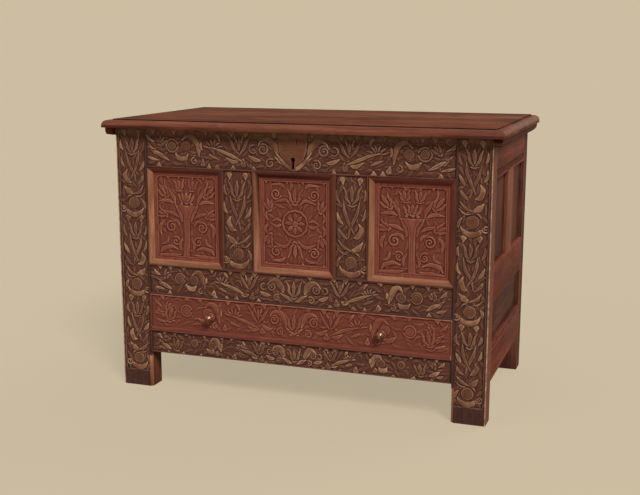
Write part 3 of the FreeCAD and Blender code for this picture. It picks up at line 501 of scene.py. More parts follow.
def undergrowth(board, low, high, step=(27, 19), turned=0, paint=0.2):
    for z in np.arange(low[1] + step[1] / 2, high[1], step[1]):
        for x in np.arange(low[0] + step[0] / 2, high[0], step[0]):
            spot = (x + chance.uniform(-5, 5), z + chance.uniform(-4, 4))
            lean = 42 * sin(abs(x) / 31 + z / 17) + chance.uniform(-28, 28) + turned
            reach, bend = chance.uniform(13, 20), chance.uniform(-8, 8)
            hold(board, spot, 1, 1 if x > 0 else -1, lean)
            stroke([(-reach, 0), (0, bend), (reach, 0)], [0.6, chance.uniform(3.4, 5.4), 0.4],
                   chance.uniform(0.03, paint), level=chance.uniform(0.5, 0.72), rib=0.3, gap=1.3)


# motifs, drawn round the place where the tool is held

def leaf(points, wide, paint=0.9, tint=None):
    stroke(points, [wide * 0.15, wide * 0.8, wide, wide * 0.7, 0.2], paint, rib=0.35, tint=tint)


def chip(at, wide, tall, paint):
    x, z = at
    stroke([(x, z + wide * 0.6), (x, z - tall)], [wide, 0.1], paint, level=0.95, crown=0.1, gap=0)


def dot(centre, radius, paint, **settings):
    stroke([centre, (centre[0] + 0.1, centre[1])], [radius, radius], paint, **settings)


def around(centre, radius, angles):
    return [(centre[0] + radius * cos(a), centre[1] + radius * sin(a)) for a in angles]


def volute(centre, radius, turns, start, wide, paint, hand):
    points, widths = [], []
    for t in np.linspace(0, 1, int(14 * turns) + 1):
        angle = radians(start) + hand * t * turns * 2 * pi
        points += around(centre, radius * (1 - t) ** 0.85 + 0.6, [angle])
        widths.append(wide * (1 - 0.55 * t))
    stroke(points, widths, paint, steps=1, gap=1.4, tint=0.4)
    dot(centre, wide * 0.8, paint + 0.1 / tool["gain"], tint=0.4)


def rings(centre, radius, paint, count=3):
    dot(centre, radius, paint, level=0.85, crown=0.2, tint=0.5)
    for index in range(1, count + 1):
        ring = around(centre, radius * index / (count + 0.7), np.linspace(0, 2 * pi, 25))
        groove(ring, 0.75, 0.4, steps=1)


def arc(centre, radius, fromAngle, toAngle, wide, paint, tint=None, taper=True):
    points = around(centre, radius, np.radians(np.linspace(fromAngle, toAngle, 13)))
    widths = [0.4, wide * 0.8, wide, wide * 0.8, 0.4] if taper else [wide, wide]
    stroke(points, widths, paint, steps=1, tint=tint)


def bell(at, wide, tall, paint):
    x, z = at
    stroke([(x, z + tall * 0.5), (x, z - tall * 0.5)], [wide * 0.3, wide * 0.55, wide], paint, crown=0.15)
    sides, hem = wide * 0.75, z - tall * 0.42
    groove([(x - sides, hem), (x, z - tall * 0.2), (x + sides, hem)], 0.8, 0.45)


def tulip(at, size, turn, paint):
    own = placer(at, size / 30, 1, turn)
    stroke(own([(0, 2), (0, 16), (0, 28)]), [3, 6.5, 0.5], paint, rib=0.3)
    for hand in (-1, 1):
        petal = own([(hand * 2, -3), (hand * 9, 6), (hand * 11, 17), (hand * 17, 29)])
        stroke(petal, [2, 4.4, 3.4, 0.4], paint, rib=0.25)
    stroke(own([(-7, -4), (0, -7), (7, -4)]), [1.5, 4, 1.5], paint * 0.7)


def frieze(board, low, high, spots, gain, side):
    tall = high - low
    size = tall / 106

    def holdAt(name, hand=1):       # x grows towards the middle of the chest
        hold(board, (side * spots[name], low + tall * 0.56), size, -side * hand, gain=gain)
    holdAt("volute")
    leaf([(-44, -20), (-24, -31), (-4, -33)], 6.5, 0.9, 0.1)
    volute((0, 0), 17, 1.9, 150, 3.4, 0.25, -1)
    stroke([(-15, 6), (-4, 24), (18, 27), (36, 12), (43, -8), (46, -24)],
           [0.5, 4, 8, 9.5, 6.5, 0.5], 0.95, tint=0.3)
    groove([(-10, 12), (4, 22), (20, 21), (33, 6), (40, -12)], 0.7, 0.35)
    volute((22, -39), 13, 1.6, 60, 2.8, 0.3, 1)
    stroke([(36, -20), (56, -33), (74, -43), (88, -49)], [0.5, 5.5, 6, 0.5], 0.95, tint=0.25)
    arc((-30, 0), 12, 60, 330, 3.0, 0.25)
    for hand in (-1, 1):
        holdAt("tulip", hand)
        stroke([(38, 42), (25, 18), (14, -2), (0, -17)], [0.5, 4.5, 4.5, 1.5], 0.3, rib=0.3)
        stroke([(16, 41), (10, 24), (2, 4)], [0.5, 4, 0.5], 0.5, tint=0.2)
        chip((22, 42), 9, 10, 0.8)
    stroke([(0, 30), (0, 12), (0, -6)], [0.5, 6, 1], 0.25, rib=0.4)
    leaf([(-2, -36), (-20, -40), (-44, -26)], 6.5, 0.95, 0.8)
    bell((14, -38), 9, 14, 0.35)
    holdAt("fan")
    for angle in (20, 48, 76, 104, 132, 160):
        c, s = cos(radians(angle)), sin(radians(angle))
        stroke([(-2 + 8 * c, -6 + 8 * s), (-2 + 22 * c, -6 + 22 * s), (-2 + 36 * c, -6 + 32 * s)],
               [0.6, 3.4, 0.4], 0.3)
    stroke([(-14, 2), (22, -9), (58, -22), (94, -38)], [0.5, 4.5, 5.5, 0.5], 0.9, rib=0.35, tint=0.9)
    leaf([(-16, -20), (0, -28), (22, -36)], 4.5, 0.4)
    leaf([(8, 40), (16, 32), (22, 18)], 4.5, 0.85, 0.7)
    bell((-36, -42), 8, 13, 0.8)
    holdAt("arch")
    rings((0, 0), 14, 0.25)
    stroke([(-10, 18), (6, 31), (24, 27), (37, 8), (42, -12), (45, -30)],
           [1.5, 6, 9, 8, 6.5, 0.6], 0.95, tint=0.35)
    groove([(-4, 22), (10, 26), (24, 18), (33, 0), (38, -18)], 0.7, 0.35)
    leaf([(51, 16), (50, 2), (53, -10)], 4.5, 0.95, 0.05)
    volute((28, -41), 10, 1.4, 100, 2.6, 0.4, 1)
    stroke([(-36, -18), (-22, -32), (-4, -34), (10, -20)], [0.8, 7, 7.5, 0.8], 0.9, tint=0.15)
    holdAt("eye")
    arc((0, 2), 19, 20, 340, 3.4, 0.25, taper=False)
    rings((0, 2), 12, 0.35, 2)
    holdAt("corner")
    stroke([(-14, 34), (-4, 22), (14, 10)], [0.8, 6, 0.5], 0.85, tint=0.1)
    for hand, depth in ((0, 0), (1, 14)):
        stroke([(-6 + 10 * hand, 4 - depth), (8 + 10 * hand, -10 - depth), (20 + 14 * hand, -8 - depth)],
               [0.5, 4, 0.5], 0.35)
    leaf([(12, -14), (36, -27), (66, -42)], 6.5, 0.95, 0.1)
    leaf([(-10, -34), (8, -40), (30, -43)], 4.5, 0.85, 0.05)
    tulip((34, 6), 26, -35, 0.3)
    for x in spots["chips"]:
        hold(board, (side * x, high - 3 * size), size, gain=gain)
        chip((0, 0), 9, 9, 0.85)
    for x in spots["lowChips"]:
        hold(board, (side * x, low + 3 * size), size, 1, 180, gain)
        chip((0, 0), 9, 8, 0.8)


def upright(board, x, low, tall, side):
    hold(board, (x, low), tall / 240, side, gain=1.12)      # x grows towards the outer edge
    arc((0, 34), 31, 195, 345, 8.5, 0.9, 0.3)
    rings((0, 36), 17, 0.35)
    arc((0, 36), 26, 20, 160, 3.6, 0.4)
    volute((36, 20), 10, 1.5, 200, 2.6, 0.5, 1)
    leaf([(-36, 20), (-34, 34), (-26, 48)], 5, 0.5)
    stroke([(30, 84), (18, 70), (0, 62)], [1.5, 9, 3.5], 0.9, tint=0.3)
    stroke([(-32, 88), (-18, 70), (0, 62)], [1, 5.5, 3], 0.4)
    stroke([(-36, 70), (-20, 56), (-6, 56)], [0.5, 3, 1], 0.3)
    stroke([(20, 132), (26, 116), (18, 100), (6, 96)], [1.5, 7.5, 7.5, 1], 0.95, tint=0.35)
    leaf([(-12, 92), (-26, 104), (-34, 120)], 5.5, 0.35)
    stroke([(-8, 96), (0, 124), (14, 152), (22, 186)], [1, 4.5, 5, 0.6], 0.35, rib=0.35)
    stroke([(8, 106), (-6, 134), (-16, 162), (-18, 190)], [1, 4.5, 5, 0.6], 0.3, rib=0.35)
    leaf([(-20, 128), (-30, 142), (-38, 160)], 5.5, 0.85, 0.2)
    leaf([(28, 138), (36, 152), (38, 172)], 4.5, 0.85, 0.9)
    tulip((2, 184), 44, 0, 0.35)
    leaf([(30, 186), (38, 200), (36, 216)], 5, 0.6, 0.15)
    leaf([(-28, 180), (-38, 198), (-36, 216)], 5, 0.4)
    for chipX in (-22, 22):
        chip((chipX, 234), 8, 9, 0.8)


def treePanel(board, centre, side):
    for hand in (-1, 1):
        hold(board, centre, 1.0, side * hand)
        stroke([(14, -12), (24, 20), (38, 52), (62, 84), (84, 96)], [4, 7.5, 6, 4.5, 0.6], 0.4, rib=0.35)
        stroke([(20, 22), (18, 54), (30, 84), (36, 108)], [2, 4, 3.5, 0.6], 0.3, rib=0.3)
        tulip((66, 66), 40, -38, 0.4)
        tulip((20, 84), 30, -8, 0.45)
        leaf([(40, 40), (62, 48), (92, 44)], 6, 0.6)
        leaf([(24, -2), (48, 10), (86, 12)], 5.5, 0.4)
        tulip((70, 4), 30, -70, 0.35)
        volute((50, -30), 17, 1.7, 120, 3.2, 0.3, -1)
        leaf([(22, -30), (30, -14), (50, -8)], 5, 0.45)
        leaf([(74, -14), (88, -34), (84, -60)], 6, 0.5)
        volute((36, -74), 14, 1.5, 60, 3.0, 0.3, 1)
        leaf([(14, -62), (22, -84), (20, -104)], 5, 0.4)
        stroke([(30, -98), (52, -92), (78, -98), (90, -112)], [1.5, 6, 7, 1], 0.6)
        stroke([(24, -114), (54, -118), (92, -118)], [2, 7, 2], 0.5)
        leaf([(62, -62), (66, -78), (84, -86)], 5, 0.4)
        for chipX, wide, tall in ((22, 9, 10), (58, 9, 10), (92, 7, 9)):
            chip((chipX, 122), wide, tall, 0.7)
    hold(board, centre, 1.0, side)
    stroke([(2, -122), (1, -60), (0, -14), (0, 14), (0, 44)], [10, 8.5, 9.5, 13, 30], 0.5, crown=0.3, gap=2.6)
    x, z = centre
    plateau(board, (x - 34, z + 34), (x + 34, z + 76), 0.0)       # the trunk's flared top is cut flat
    for hand in (-1, 1):
        hold(board, centre, 1.0, side * hand)
        groove([(4, -118), (3, -40), (5, 0), (15, 32)], 0.8, 0.35)
        leaf([(6, 40), (18, 52), (26, 70)], 5, 0.5)
        chip((15, 37), 5, -9, 0.6)
    hold(board, centre, 1.0, side)
    tulip((0, 48), 28, 0, 0.6)


def rosettePanel(board, centre):
    for hand in (-1, 1):
        for turn in (180, 0):
            hold(board, centre, 1.0, hand, turn)
            volute((58, 84), 16, 1.7, 200, 3.0, 0.3, 1)
            leaf([(30, 100), (44, 110), (74, 110)], 5, 0.5)
            tulip((78, 40), 30, -14, 0.35)
            stroke([(10, 48), (28, 66), (46, 66), (64, 58)], [1, 5, 5, 0.6], 0.35, rib=0.3)
            leaf([(84, 4), (90, 18), (84, 34)], 5, 0.4)
            chip((24, 122), 9, 10, 0.6)
            chip((88, 122), 8, 9, 0.6)
        hold(board, centre, 1.0, hand)
        for bend in (10, -10):
            stroke([(34, 0), (56, bend), (76, 0)], [1, 5, 0.6], 0.4, rib=0.3)
    hold(board, centre)
    tulip((0, 62), 42, 0, 0.5)
    tulip((0, -62), 42, 180, 0.5)
    arc((0, 0), 38, 0, 360, 3.2, 0.4, taper=False)
    for angle in range(0, 360, 45):
        c, s = cos(radians(angle)), sin(radians(angle))
        stroke([(9 * c, 9 * s), (20 * c, 20 * s), (31 * c, 31 * s)], [1.5, 6, 0.5], 0.5, rib=0.35)
    rings((0, 0), 8, 0.6, 2)


# from heights to a mesh

def boxBlur(values, reach):
    for axis in (0, 1):
        padded = np.concatenate([np.repeat(values.take([0], axis), reach + 1, axis), values,
                                 np.repeat(values.take([-1], axis), reach, axis)], axis)
        total = np.cumsum(padded, axis)
        count = values.shape[axis]
        upper = total.take(range(2 * reach + 1, 2 * reach + 1 + count), axis)
        values = (upper - total.take(range(count), axis)) / (2 * reach + 1)
    return values


def finishHeights(board, depth):
    height, x, z = board["height"], board["x"], board["z"]
    tooled = 0.035 * np.sin(x * 1.1 + 2.1 * np.sin(z * 0.31)) * np.sin(z * 0.9 + 1.7 * np.sin(x * 0.23))
    height = np.clip(height + tooled * (1 - height), 0, 1)
    edge = np.minimum.reduce([x - x.min(), x.max() - x, z - z.min(), z.max() - z])
    height = 1 - (1 - height) * ease(0.2, 1.6, edge)
    board["height"] = height
    # the hollows and the deep ground are darkened as painted shade, on top of the grime layer
    hollow = np.clip(boxBlur(boxBlur(height, 2), 2) - height, 0, 1)
    raised = np.clip(height - boxBlur(boxBlur(height, 2), 1), 0, 1)
    board["dirt"] = np.clip(hollow * 2.0 + 0.22 * (1 - height) + board["grime"], 0, 0.92)
    # paler on the raised ridges: paint rubbed off them, and a painted highlight on their rims
    rubbed = np.clip(raised * 3.3 - 0.25, 0, 1) * np.clip(0.35 + board["paint"], 0, 1) * (edge > 4)
    board["rubbed"] = np.maximum(rubbed, board["bare"])
    board["sunk"] = (1 - height) * depth / 1000


def openLoops(mesh):        # the loops of open edges, the widest last
    loops, unseen = [], {e for e in mesh.edges if e.is_boundary}
    while unseen:
        loop, queue = set(), [unseen.pop()]
        while queue:
            link = queue.pop()
            loop.add(link)
            near = {other for corner in link.verts for other in corner.link_edges} & unseen
            unseen -= near
            queue += near
        loops.append(loop)

    def span(loop):
        sums = [v.co.x + v.co.z for e in loop for v in e.verts]
        return max(sums) - min(sums)
    return sorted(loops, key=span)


def spotsOf(piece):
    spots = np.empty(len(piece.data.vertices) * 3)
    piece.data.vertices.foreach_get("co", spots)
    return spots.reshape(-1, 3)


def readBoard(board, x, z, *layers):
    xs, zs = board["xs"], board["zs"]
    column = np.rint((x - xs[0]) / (xs[1] - xs[0])).astype(int).clip(0, len(xs) - 1)
    row = np.rint((z - zs[0]) / (zs[1] - zs[0])).astype(int).clip(0, len(zs) - 1)
    return [board[layer][row, column] for layer in layers]


def reliefGrid(board, frontY, without):
    xs, zs = board["xs"], board["zs"]
    bpy.ops.object.select_all(action="DESELECT")
    bpy.ops.mesh.primitive_grid_add(x_subdivisions=len(xs) - 1, y_subdivisions=len(zs) - 1, size=2)
    grid = bpy.context.object
    acrossX, acrossZ, _ = (spotsOf(grid).T + 1) / 2
    x, z, sunk = readBoard(board, xs[0] + acrossX * (xs[-1] - xs[0]), zs[0] + acrossZ * (zs[-1] - zs[0]),
                           "x", "z", "sunk")
    grid.data.vertices.foreach_set("co", np.column_stack([x / 1000, frontY + sunk, z / 1000]).ravel())
    if without:
        shape = bmesh.new()
        shape.from_mesh(grid.data)
        middles = {f: f.calc_center_median() * 1000 for f in shape.faces}
        gone = [f for f, middle in middles.items() if without(middle.x, middle.z)]
        bmesh.ops.delete(shape, geom=gone, context="FACES")
        shape.to_mesh(grid.data)
        shape.free()
    return grid


def storeLayers(piece, board, frontY, depth):       # the paint, dirt and wear, with the painted shade and painted highlight, that the material reads
    x, y, z = spotsOf(piece).T * 1000
    facing = y < frontY * 1000 + depth + 0.1
    *colours, rubbed = np.array(readBoard(board, x, z, "paint", "tint", "dirt", "rubbed")) * facing
    values = np.column_stack([*colours, np.ones(len(x))]).astype(np.float32)
    layer = piece.data.color_attributes.new("carving", "FLOAT_COLOR", "POINT")
    layer.data.foreach_set("color", values.ravel())
    layer = piece.data.attributes.new("rubbed", "FLOAT", "POINT")
    layer.data.foreach_set("value", rubbed.astype(np.float32))


def carve(node, board, frontY, materials, depth=carvingTool["groundDepth"], without=None, keepHole=None):
    finishHeights(board, depth)
    stile = "stile" in node
    piece, mesh = copyNode(node, node + "_carved", stileCuts if stile else ())
    front = [f for f in mesh.faces if f.normal.y < -0.99 and abs(f.calc_center_median().y - frontY) < 2e-5]
    bmesh.ops.delete(mesh, geom=front, context="FACES")
    for loop in openLoops(mesh)[:-1]:       # pin holes are closed behind the relief
        corners = {v for e in loop for v in e.verts}
        middle = sum((v.co for v in corners), Vector()) / len(corners) * 1000
        if keepHole and abs(middle.x - keepHole[0]) < 20 and abs(middle.z - keepHole[1]) < 30:
            continue
        for v in corners:
            v.co.y += (depth + 0.4) / 1000
        bmesh.ops.contextual_create(mesh, geom=list(loop))
    mesh.to_mesh(piece.data)
    mesh.free()

    selectOnly(piece, reliefGrid(board, frontY, without))
    bpy.ops.object.join()
    mesh = bmesh.new()
    mesh.from_mesh(piece.data)
    rim = [e for e in mesh.edges if e.is_boundary]
    for v in {v for e in rim for v in e.verts}:
        v.co.y = frontY
    bmesh.ops.triangle_fill(mesh, use_beauty=True, edges=rim, normal=(0, -1, 0))
    bmesh.ops.recalc_face_normals(mesh, faces=mesh.faces)
    mesh.to_mesh(piece.data)
    left = sum(1 for e in mesh.edges if not e.is_manifold)
    mesh.free()
    storeLayers(piece, board, frontY, depth)
    for face in piece.data.polygons:
        carved = face.center.y < frontY + (depth + 0.1) / 1000 and face.normal.y < -0.05
        chamfered = -0.9 < face.normal.y < -0.3
        boxed = not stile or (face.center.z > footTop and abs(face.center.x) < grooveSide)
        inner = stile and face.normal.x * face.center.x < 0 and abs(face.normal.x) > 0.9
        hidden = boxed and (inner or face.normal.y > 0.9)
        face.material_index = 0 if carved else 2 if chamfered else 3 if hidden else 1
    selectOnly(piece)
    bpy.ops.object.shade_smooth_by_angle(angle=radians(50))
    print(node, "carved:", len(piece.data.polygons), "faces,", left, "open edges")
    settle(piece, node, *[looks[name] for name in materials])


def boxOf(node):        # in millimetres
    low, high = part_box(node)
    return low * 1000, high * 1000


# the carved front

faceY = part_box("front_stile_left")[0].y
paintedLightUnderLid = {"tall": 18, "soft": 26, "bare": 0.3}       # painted light: the band just under the lid is made paler, against the lid's cast shadow
railLooks = ("frame_x", "end_x", "bare_x", "inside_x")      # carved face, edges, chamfer, inside
uprightLooks = ("frame_z", "post_z", "bare_z", "inside_z")
railHalf = 467          # the rails go on behind the stiles from here
hands = ((-1, "left"), (1, "right"))


def railBoard(node, rail):      # its undergrowth, frieze and tulips
    low, high = boxOf(node)
    half = min(high.x, railHalf) - boardGap
    board = newBoard((-half, low.z + boardGap), (half, high.z - boardGap))
    wide, under, over = rail["grown"]
    undergrowth(board, (-wide, low.z + under), (wide, high.z - over), **rail.get("leaves", {}))
    under, over = rail["frieze"]
    for side in (-1, 1):
        frieze(board, low.z + under, high.z - over, rail["spots"], rail.get("gain", 1.0), side)
        hold(board)
        for x, up, size, lean, paint in rail.get("sideTulips", ()):
            tulip((side * x, low.z + up), size, side * lean, paint)
    for up, size, paint in rail.get("middleTulips", ()):
        tulip((0, low.z + up), size, 0, paint)
    return board, low.z, high.z


def band(board, low, high, *levels, **layers):      # a plain strip along a whole rail
    plateau(board, (-470, low), (470, high), *levels, **layers)


def soilEnds(board):        # dark joints beside the stiles
    for side in (-1, 1):
        ends = sorted((side * 463, side * 475))
        coat(board, (ends[0], 0), (ends[1], 800), 4, grime=0.45)


topRail = {
    "spots": {"volute": 92, "tulip": 166, "fan": 246, "arch": 336, "eye": 380, "corner": 452,
              "chips": (58, 270, 372, 408, 440), "lowChips": (120, 186, 236, 262, 424)},
    "grown": (462, 4, 4), "frieze": (4, 5),     # half width, and the margins below and above
    "keyhole": (0, 706), "cleared": (8.2, 690, 728.2),      # half width, bottom and top of a gap in the grid
    "shield": [(0, 790), (0, 752), (0, 724), (0, 708)],
    "scroll": [(-56, 742), (-36, 716), (-16, 698), (0, 692), (16, 698), (36, 716), (56, 742)],
}
board, low, high = railBoard("front_top_rail", topRail)
stroke(topRail["shield"], [43, 42, 28, 15], 0.25, level=1.0, crown=0.0, gap=2.2, tint=0.6)
groove([(11, 776), (11, 764)], 1.3, 0.9)
stroke(topRail["scroll"], [1, 5, 6, 6, 6, 5, 1], 0.9, tint=0.25)
plateau(board, (-9, 688), (9, 730), 1.0, 0.25, 3)
band(board, high - 3.5, high)
band(board, low, low + 3)
# painted light: a paler band under the lid, against its cast shadow
coat(board, (-470, high - paintedLightUnderLid["tall"]), (470, high + 9), paintedLightUnderLid["soft"], bare=paintedLightUnderLid["bare"])
soilEnds(board)


def nearKeyhole(x, z):
    half, bottom, top = topRail["cleared"]
    return abs(x) < half and bottom < z < top


carve("front_top_rail", board, faceY, railLooks, without=nearKeyhole, keepHole=topRail["keyhole"])

middleRail = {
    "spots": {"volute": 70, "tulip": 140, "fan": 226, "arch": 318, "eye": 364, "corner": 440,
              "chips": (50, 200, 260, 352, 396, 430), "lowChips": (110, 180, 214, 250, 400)},
    "grown": (462, 4, 4), "frieze": (4, 4), "middleTulips": ((30, 46, 0.5),),
}
board, low, high = railBoard("front_middle_rail", middleRail)
band(board, high - 3.5, high)
# painted shade along the lower edge, in the gap above the drawer
band(board, low, low + 3.5, grime=0.5)
soilEnds(board)
carve("front_middle_rail", board, faceY, railLooks)

bottomRail = {
    "spots": {"volute": 60, "tulip": 112, "fan": 168, "arch": 262, "eye": 322, "corner": 438,
              "chips": (30, 80, 200, 232, 290, 350, 388, 424), "lowChips": (90, 140, 214, 300, 360, 410)},
    "grown": (462, 2, 2), "frieze": (2, 2), "sideTulips": ((380, 16, 34, 8, 0.35),),
    "middleTulips": ((20, 36, 0.5),),
}
board, low, high = railBoard("front_bottom_rail", bottomRail)
band(board, high - 2, high, grime=0.5)
band(board, low, low + 2)
soilEnds(board)
carve("front_bottom_rail", board, faceY, railLooks)

drawer = {
    "spots": {"volute": 62, "tulip": 112, "fan": 190, "arch": 276, "eye": 346, "corner": 440,
              "chips": (46, 132, 208, 300, 344, 424), "lowChips": ()},
    "grown": (460, 16, 5), "frieze": (16, 5), "gain": 0.6, "leaves": {"step": (34, 24), "paint": 0.25},
    "sideTulips": ((404, 40, 44, 12, 0.3),), "middleTulips": ((44, 52, 0.5),),
    "knob": (265, 237.5), "seat": 11.5,         # the face stays flat round the knobs
    "plain": 12, "rubbed": 2.6, "depth": 2.4,   # the lower edge, the pale top and right arris, worn and with a painted highlight, and the relief
}
board, low, high = railBoard("drawer_front", drawer)
for side in (-1, 1):
    hold(board, side=side)
    dot(drawer["knob"], drawer["seat"], 0.0, level=1.0, crown=0)
band(board, high - 4, high)
band(board, low, low + drawer["plain"], 0.7, 0.0, 9, grime=0.12)
# painted highlight on the worn arris of the top and right edges, which face the light
for corner in ((-470, high - drawer["rubbed"]), (boxOf("drawer_front")[1].x - drawer["rubbed"], low)):
    coat(board, corner, (470, high), bare=0.7)
carve("drawer_front", board, faceY, ("panel_x", "plain_x", "plain_x", "plain_x"), drawer["depth"])

stile = {
    "bases": ((54, 226, 1), (286, 242, -1), (532, 252, 1)),      # each motif's foot, height and hand
    "inner": 467.7, "outer": 564.3, "centre": 512, "top": 795.3, "plainUnder": 50,
    "chamfer": (475.5, 102.2),      # the foot's inner corner, up to this height
}
for side, hand in hands:
    def upTo(start, end, height=800):       # between two distances from the middle
        near, far = sorted((side * start, side * end))
        return (near, 0), (far, height)

    (near, _), (far, _) = upTo(stile["inner"], stile["outer"])
    board = newBoard((near, boardGap), (far, stile["top"]))
    undergrowth(board, (near + 4, stile["plainUnder"]), (far - 4, 790), (22, 27), 90)
    for base, tall, turned in stile["bases"]:
        upright(board, side * stile["centre"], base, tall, side * turned)
    plateau(board, *upTo(stile["outer"] - 9, stile["outer"] + 2), grime=0.6)
    plateau(board, *upTo(stile["outer"] - 2.4, stile["outer"] + 2), bare=1.0)
    plateau(board, *upTo(stile["inner"] - 2, stile["inner"] + 4), grime=0.5)
    # painted light: a paler band under the lid, against its cast shadow
    coat(board, (near + 4, 796 - paintedLightUnderLid["tall"]), (far - 4, 805), paintedLightUnderLid["soft"], bare=paintedLightUnderLid["bare"])
    plateau(board, *upTo(stile["inner"], stile["outer"], stile["plainUnder"]), soft=2, grime=0.6)

    def onChamfer(x, z):
        return side * x < stile["chamfer"][0] and z < stile["chamfer"][1]
    carve("front_stile_" + hand, board, faceY, uprightLooks, without=onChamfer)

muntin = {"centre": 172, "half": 48.3, "low": 386.7, "high": 681.3, "base": 396, "tall": 274}
for side, hand in hands:
    middle = side * muntin["centre"]
    near, far = middle - muntin["half"], middle + muntin["half"]
    board = newBoard((near, muntin["low"]), (far, muntin["high"]))
    undergrowth(board, (middle - 45, 388), (middle + 45, 680), (22, 27), 90)
    upright(board, middle, muntin["base"], muntin["tall"], side)
    plateau(board, (middle - 50, 380), (near + 3.5, 690))
    plateau(board, (far - 3.5, 380), (middle + 50, 690))
    plateau(board, (middle - 50, 380), (middle + 50, 390), 0.9, 0.0, 2, grime=0.3)
    carve("front_muntin_" + hand, board, faceY, uprightLooks)

panel = {"half": 106, "low": 403, "high": 665, "border": 12, "line": 8, "sunk": 0.0122, "depth": 2.8,
         "looks": ("panel_z", "inside_z", "inside_z", "inside_z"),
         "middles": (("left", -344), ("middle", 0), ("right", 344))}
for name, middle in panel["middles"]:
    west, east, low, high = middle - panel["half"], middle + panel["half"], panel["low"], panel["high"]
    board = newBoard((west + 1, low + 1), (east - 1, high - 1))
    centre, edge, line = (middle, (low + high) / 2), panel["border"], panel["line"]
    undergrowth(board, (west + 14, low + 13), (east - 14, high - 13), (30, 30), 60, 0.2)
    if name == "middle":
        rosettePanel(board, centre)
    else:
        treePanel(board, centre, -1 if name == "left" else 1)
    plateau(board, (west, low), (west + edge, high))
    plateau(board, (east - edge, low), (east, high))
    plateau(board, (west, low), (east, low + edge))
    plateau(board, (west, high - edge), (east, high))
    corners = [(west + line, low + line), (east - line, low + line),
               (east - line, high - line), (west + line, high - line)]
    hold(board)
    for start, end in zip(corners, corners[1:] + corners[:1]):
        groove([start, end], 0.9, 0.5)
    carve("front_panel_" + name, board, faceY + panel["sunk"], panel["looks"], panel["depth"])
print("front carved")


# plain boards, with worn edges

easedEdges = {"wood": 0.0012, "lid": 0.0012, "strip": 0.0008, "cleat": 0.0012, "metal": 0.0005, "pin": 0.0004}
cleatRound = {"outer": 589, "under": 775, "radius": 0.014}
lidEdge = {"lip": 804, "ends": 571, "front": -298, "step": (818.2, 820.1), "foot": 799}
postSide = 460          # the posts stand further out than this
beadSides = (562.4, 564.2)      # the floors of the end rails' run lines
boards = (      # look, edge and nodes, where a last _ stands for left and right
    ("lid_x", "lid", "lid_board"),
    ("lid_y", "cleat", "lid_cleat_"),
    ("end_x", "wood", "rear_top_rail rear_middle_rail rear_bottom_rail rear_lower_panel"),
    ("end_z", "wood", "rear_muntin rear_upper_panels rear_stile_ side_upper_panels_"),
    ("end_y", "wood", "side_lower_panel_"),
    ("rail_y", "wood", "side_top_rail_ side_middle_rail_ side_bottom_rail_"),
    ("post_z", "wood", "side_muntin_"),
    ("plain_x", "wood", "drawer_back"),
    ("plain_y", "wood", "drawer_bottom drawer_side_ drawer_runner_ floor_boards"),
    ("end_y", "pin", "frame_pins"),
    ("iron", "metal", "lid_nails drawer_nails lock_nails lock_case lock_bolt lid_staple hinge_eyes"),
    ("iron", "metal", "hinge_staples"),
)


def underCleat(spot):
    return abs(spot.x) > cleatRound["outer"] and spot.z < cleatRound["under"]


def caseSides(spot, normal):      # 0 outside, 1 inside
    if spot.z < footTop * 1000 and abs(spot.x) > postSide and spot.y > 240:
        return 0
    inward = normal.x * spot.x < 0 and abs(normal.x) > 0.9 and abs(spot.x) > postSide
    behind = normal.y < -0.9 and spot.y > 200 and abs(spot.x) < grooveSide * 1000
    return 1 if inward or behind else 0


def beadFloors(spot, index):        # the run lines' floors take the dark shade wood: painted shade in the grooves
    return 2 if beadSides[0] < abs(spot.x) < beadSides[1] else index


def beyondStep(spot):
    return max(abs(spot.x) - lidEdge["ends"], lidEdge["front"] - spot.y)


# 1 the underside, 2 the moulded nose, whose lighter wood is a painted highlight on the round, 0 the rest
def lidSides(spot, normal):
    if normal.z < -0.9:
        return 1
    return 2 if beyondStep(spot) > 1 and spot.z > lidEdge["lip"] else 0


# the step's faces take the dark shade wood, painted shade in the crevice; the worn bevel below the nose's
# foot keeps the lid's wood
def lidStep(spot, index):
    if abs(beyondStep(spot)) < 1.5 and lidEdge["step"][0] < spot.z < lidEdge["step"][1]:
        return 3
    return 0 if index == 4 and spot.z < lidEdge["foot"] else index


def easeBoard(node, look, edge):
    kind, _, grain = look.partition("_")
    names, ways = [look], {"cuts": stileCuts if "stile" in node else ()}
    if kind == "rail":
        names += ["inside_" + grain, "shade_" + grain, "worn_" + grain]
        ways.update(sort=caseSides, touch=beadFloors)
    elif kind in ("end", "post") and edge == "wood":
        names += ["inside_" + grain, "worn_" + grain]
        ways["sort"] = caseSides
    elif edge == "lid":
        names += ["inside_x", "nose_x", "shade_x", "worn_x"]
        ways = {"sort": lidSides, "touch": lidStep, "cuts": [((0, 0, lidEdge["lip"] / 1000), (0, 0, 1))]}
    elif edge == "cleat":
        names.append("worn_" + grain)
        ways.update(rounded=underCleat, radius=cleatRound["radius"])
    easedCopy(node, [looks[name] for name in names], easedEdges[edge], **ways)


eased = 0
for look, edge, names in boards:
    for name in names.split():
        for node in ([name + "left", name + "right"] if name.endswith("_") else [name]):
            easeBoard(node, look, edge)
            eased += 1

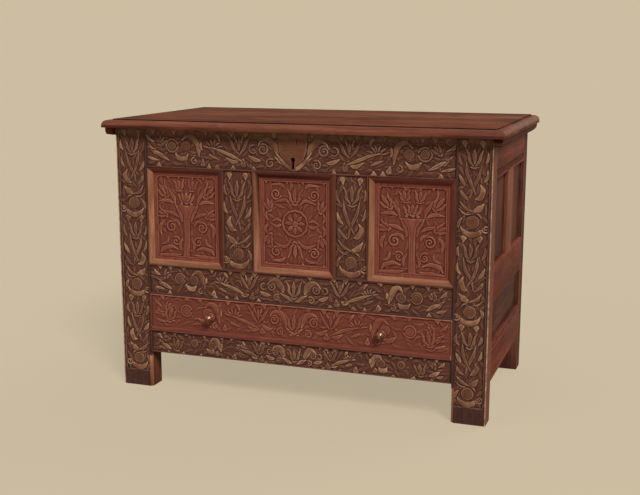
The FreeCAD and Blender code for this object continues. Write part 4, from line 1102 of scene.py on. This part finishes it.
strips = {"half": 123, "low": 386, "high": 682,
          "looks": [looks[look] for look in ("strip_z", "strip_x", "strip_red_z", "strip_red_x", "worn_z")]}
for name, middle in panel["middles"]:
    def whichStrip(spot, normal):       # left, lower, right or upper: the nearest side of the opening; the left and lower strips take the lighter copy, a painted highlight, and the right and upper ones the darker copy, painted shade
        away = (spot.x - middle + strips["half"], spot.z - strips["low"],
                middle + strips["half"] - spot.x, strips["high"] - spot.z)
        return away.index(min(away))
    easedCopy("front_strips_" + name, strips["looks"], easedEdges["strip"], whichStrip)
    eased += 1
print("plain boards eased:", eased)


# turned knobs

knob = {
    "stemEnd": (3.4, 25),       # radius and depth, from the drawer's face inwards
    "rings": ((3.4, 0), (8.9, 0), (9.4, -1.4), (8.2, -3.4), (6.0, -5.2), (5.8, -8.6), (8.2, -12.4),
              (11.4, -14.4), (12.4, -17.4), (11.6, -21), (8.9, -23.8), (5.0, -25.2), (4.4, -26.4),
              (1.6, -27)),
    "sides": 48,
}
low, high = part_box("drawer_knob_right")
knobX, knobZ = ((low + high) / 2).x, ((low + high) / 2).z
radius, depth = knob["stemEnd"]
bpy.ops.object.select_all(action="DESELECT")
bpy.ops.mesh.primitive_circle_add(vertices=knob["sides"], radius=radius / 1000, fill_type="NGON",
                                  location=(knobX, faceY + depth / 1000, knobZ),
                                  rotation=(radians(90), 0, 0))
rightKnob = bpy.context.object
bpy.ops.object.transform_apply()
bpy.ops.object.mode_set(mode="EDIT")
for nextRadius, nextDepth in knob["rings"]:
    bpy.ops.mesh.extrude_region_move(TRANSFORM_OT_translate={"value": (0, (nextDepth - depth) / 1000, 0)})
    grow = nextRadius / radius
    bpy.ops.transform.resize(value=(grow, 1, grow), center_override=(knobX, faceY + nextDepth / 1000, knobZ))
    radius, depth = nextRadius, nextDepth
bpy.ops.mesh.select_all(action="SELECT")
bpy.ops.mesh.normals_make_consistent(inside=False)
bpy.ops.object.mode_set(mode="OBJECT")
bpy.ops.object.shade_smooth_by_angle(angle=radians(50))
bpy.ops.object.duplicate()
leftKnob = bpy.context.object
bpy.ops.transform.translate(value=(-2 * knobX, 0, 0))
bpy.ops.object.transform_apply()
for piece, name in ((rightKnob, "drawer_knob_right"), (leftKnob, "drawer_knob_left")):
    piece.name = piece.data.name = name + "_turned"
    settle(piece, name, looks["brass"])
print("knobs turned")

low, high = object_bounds()
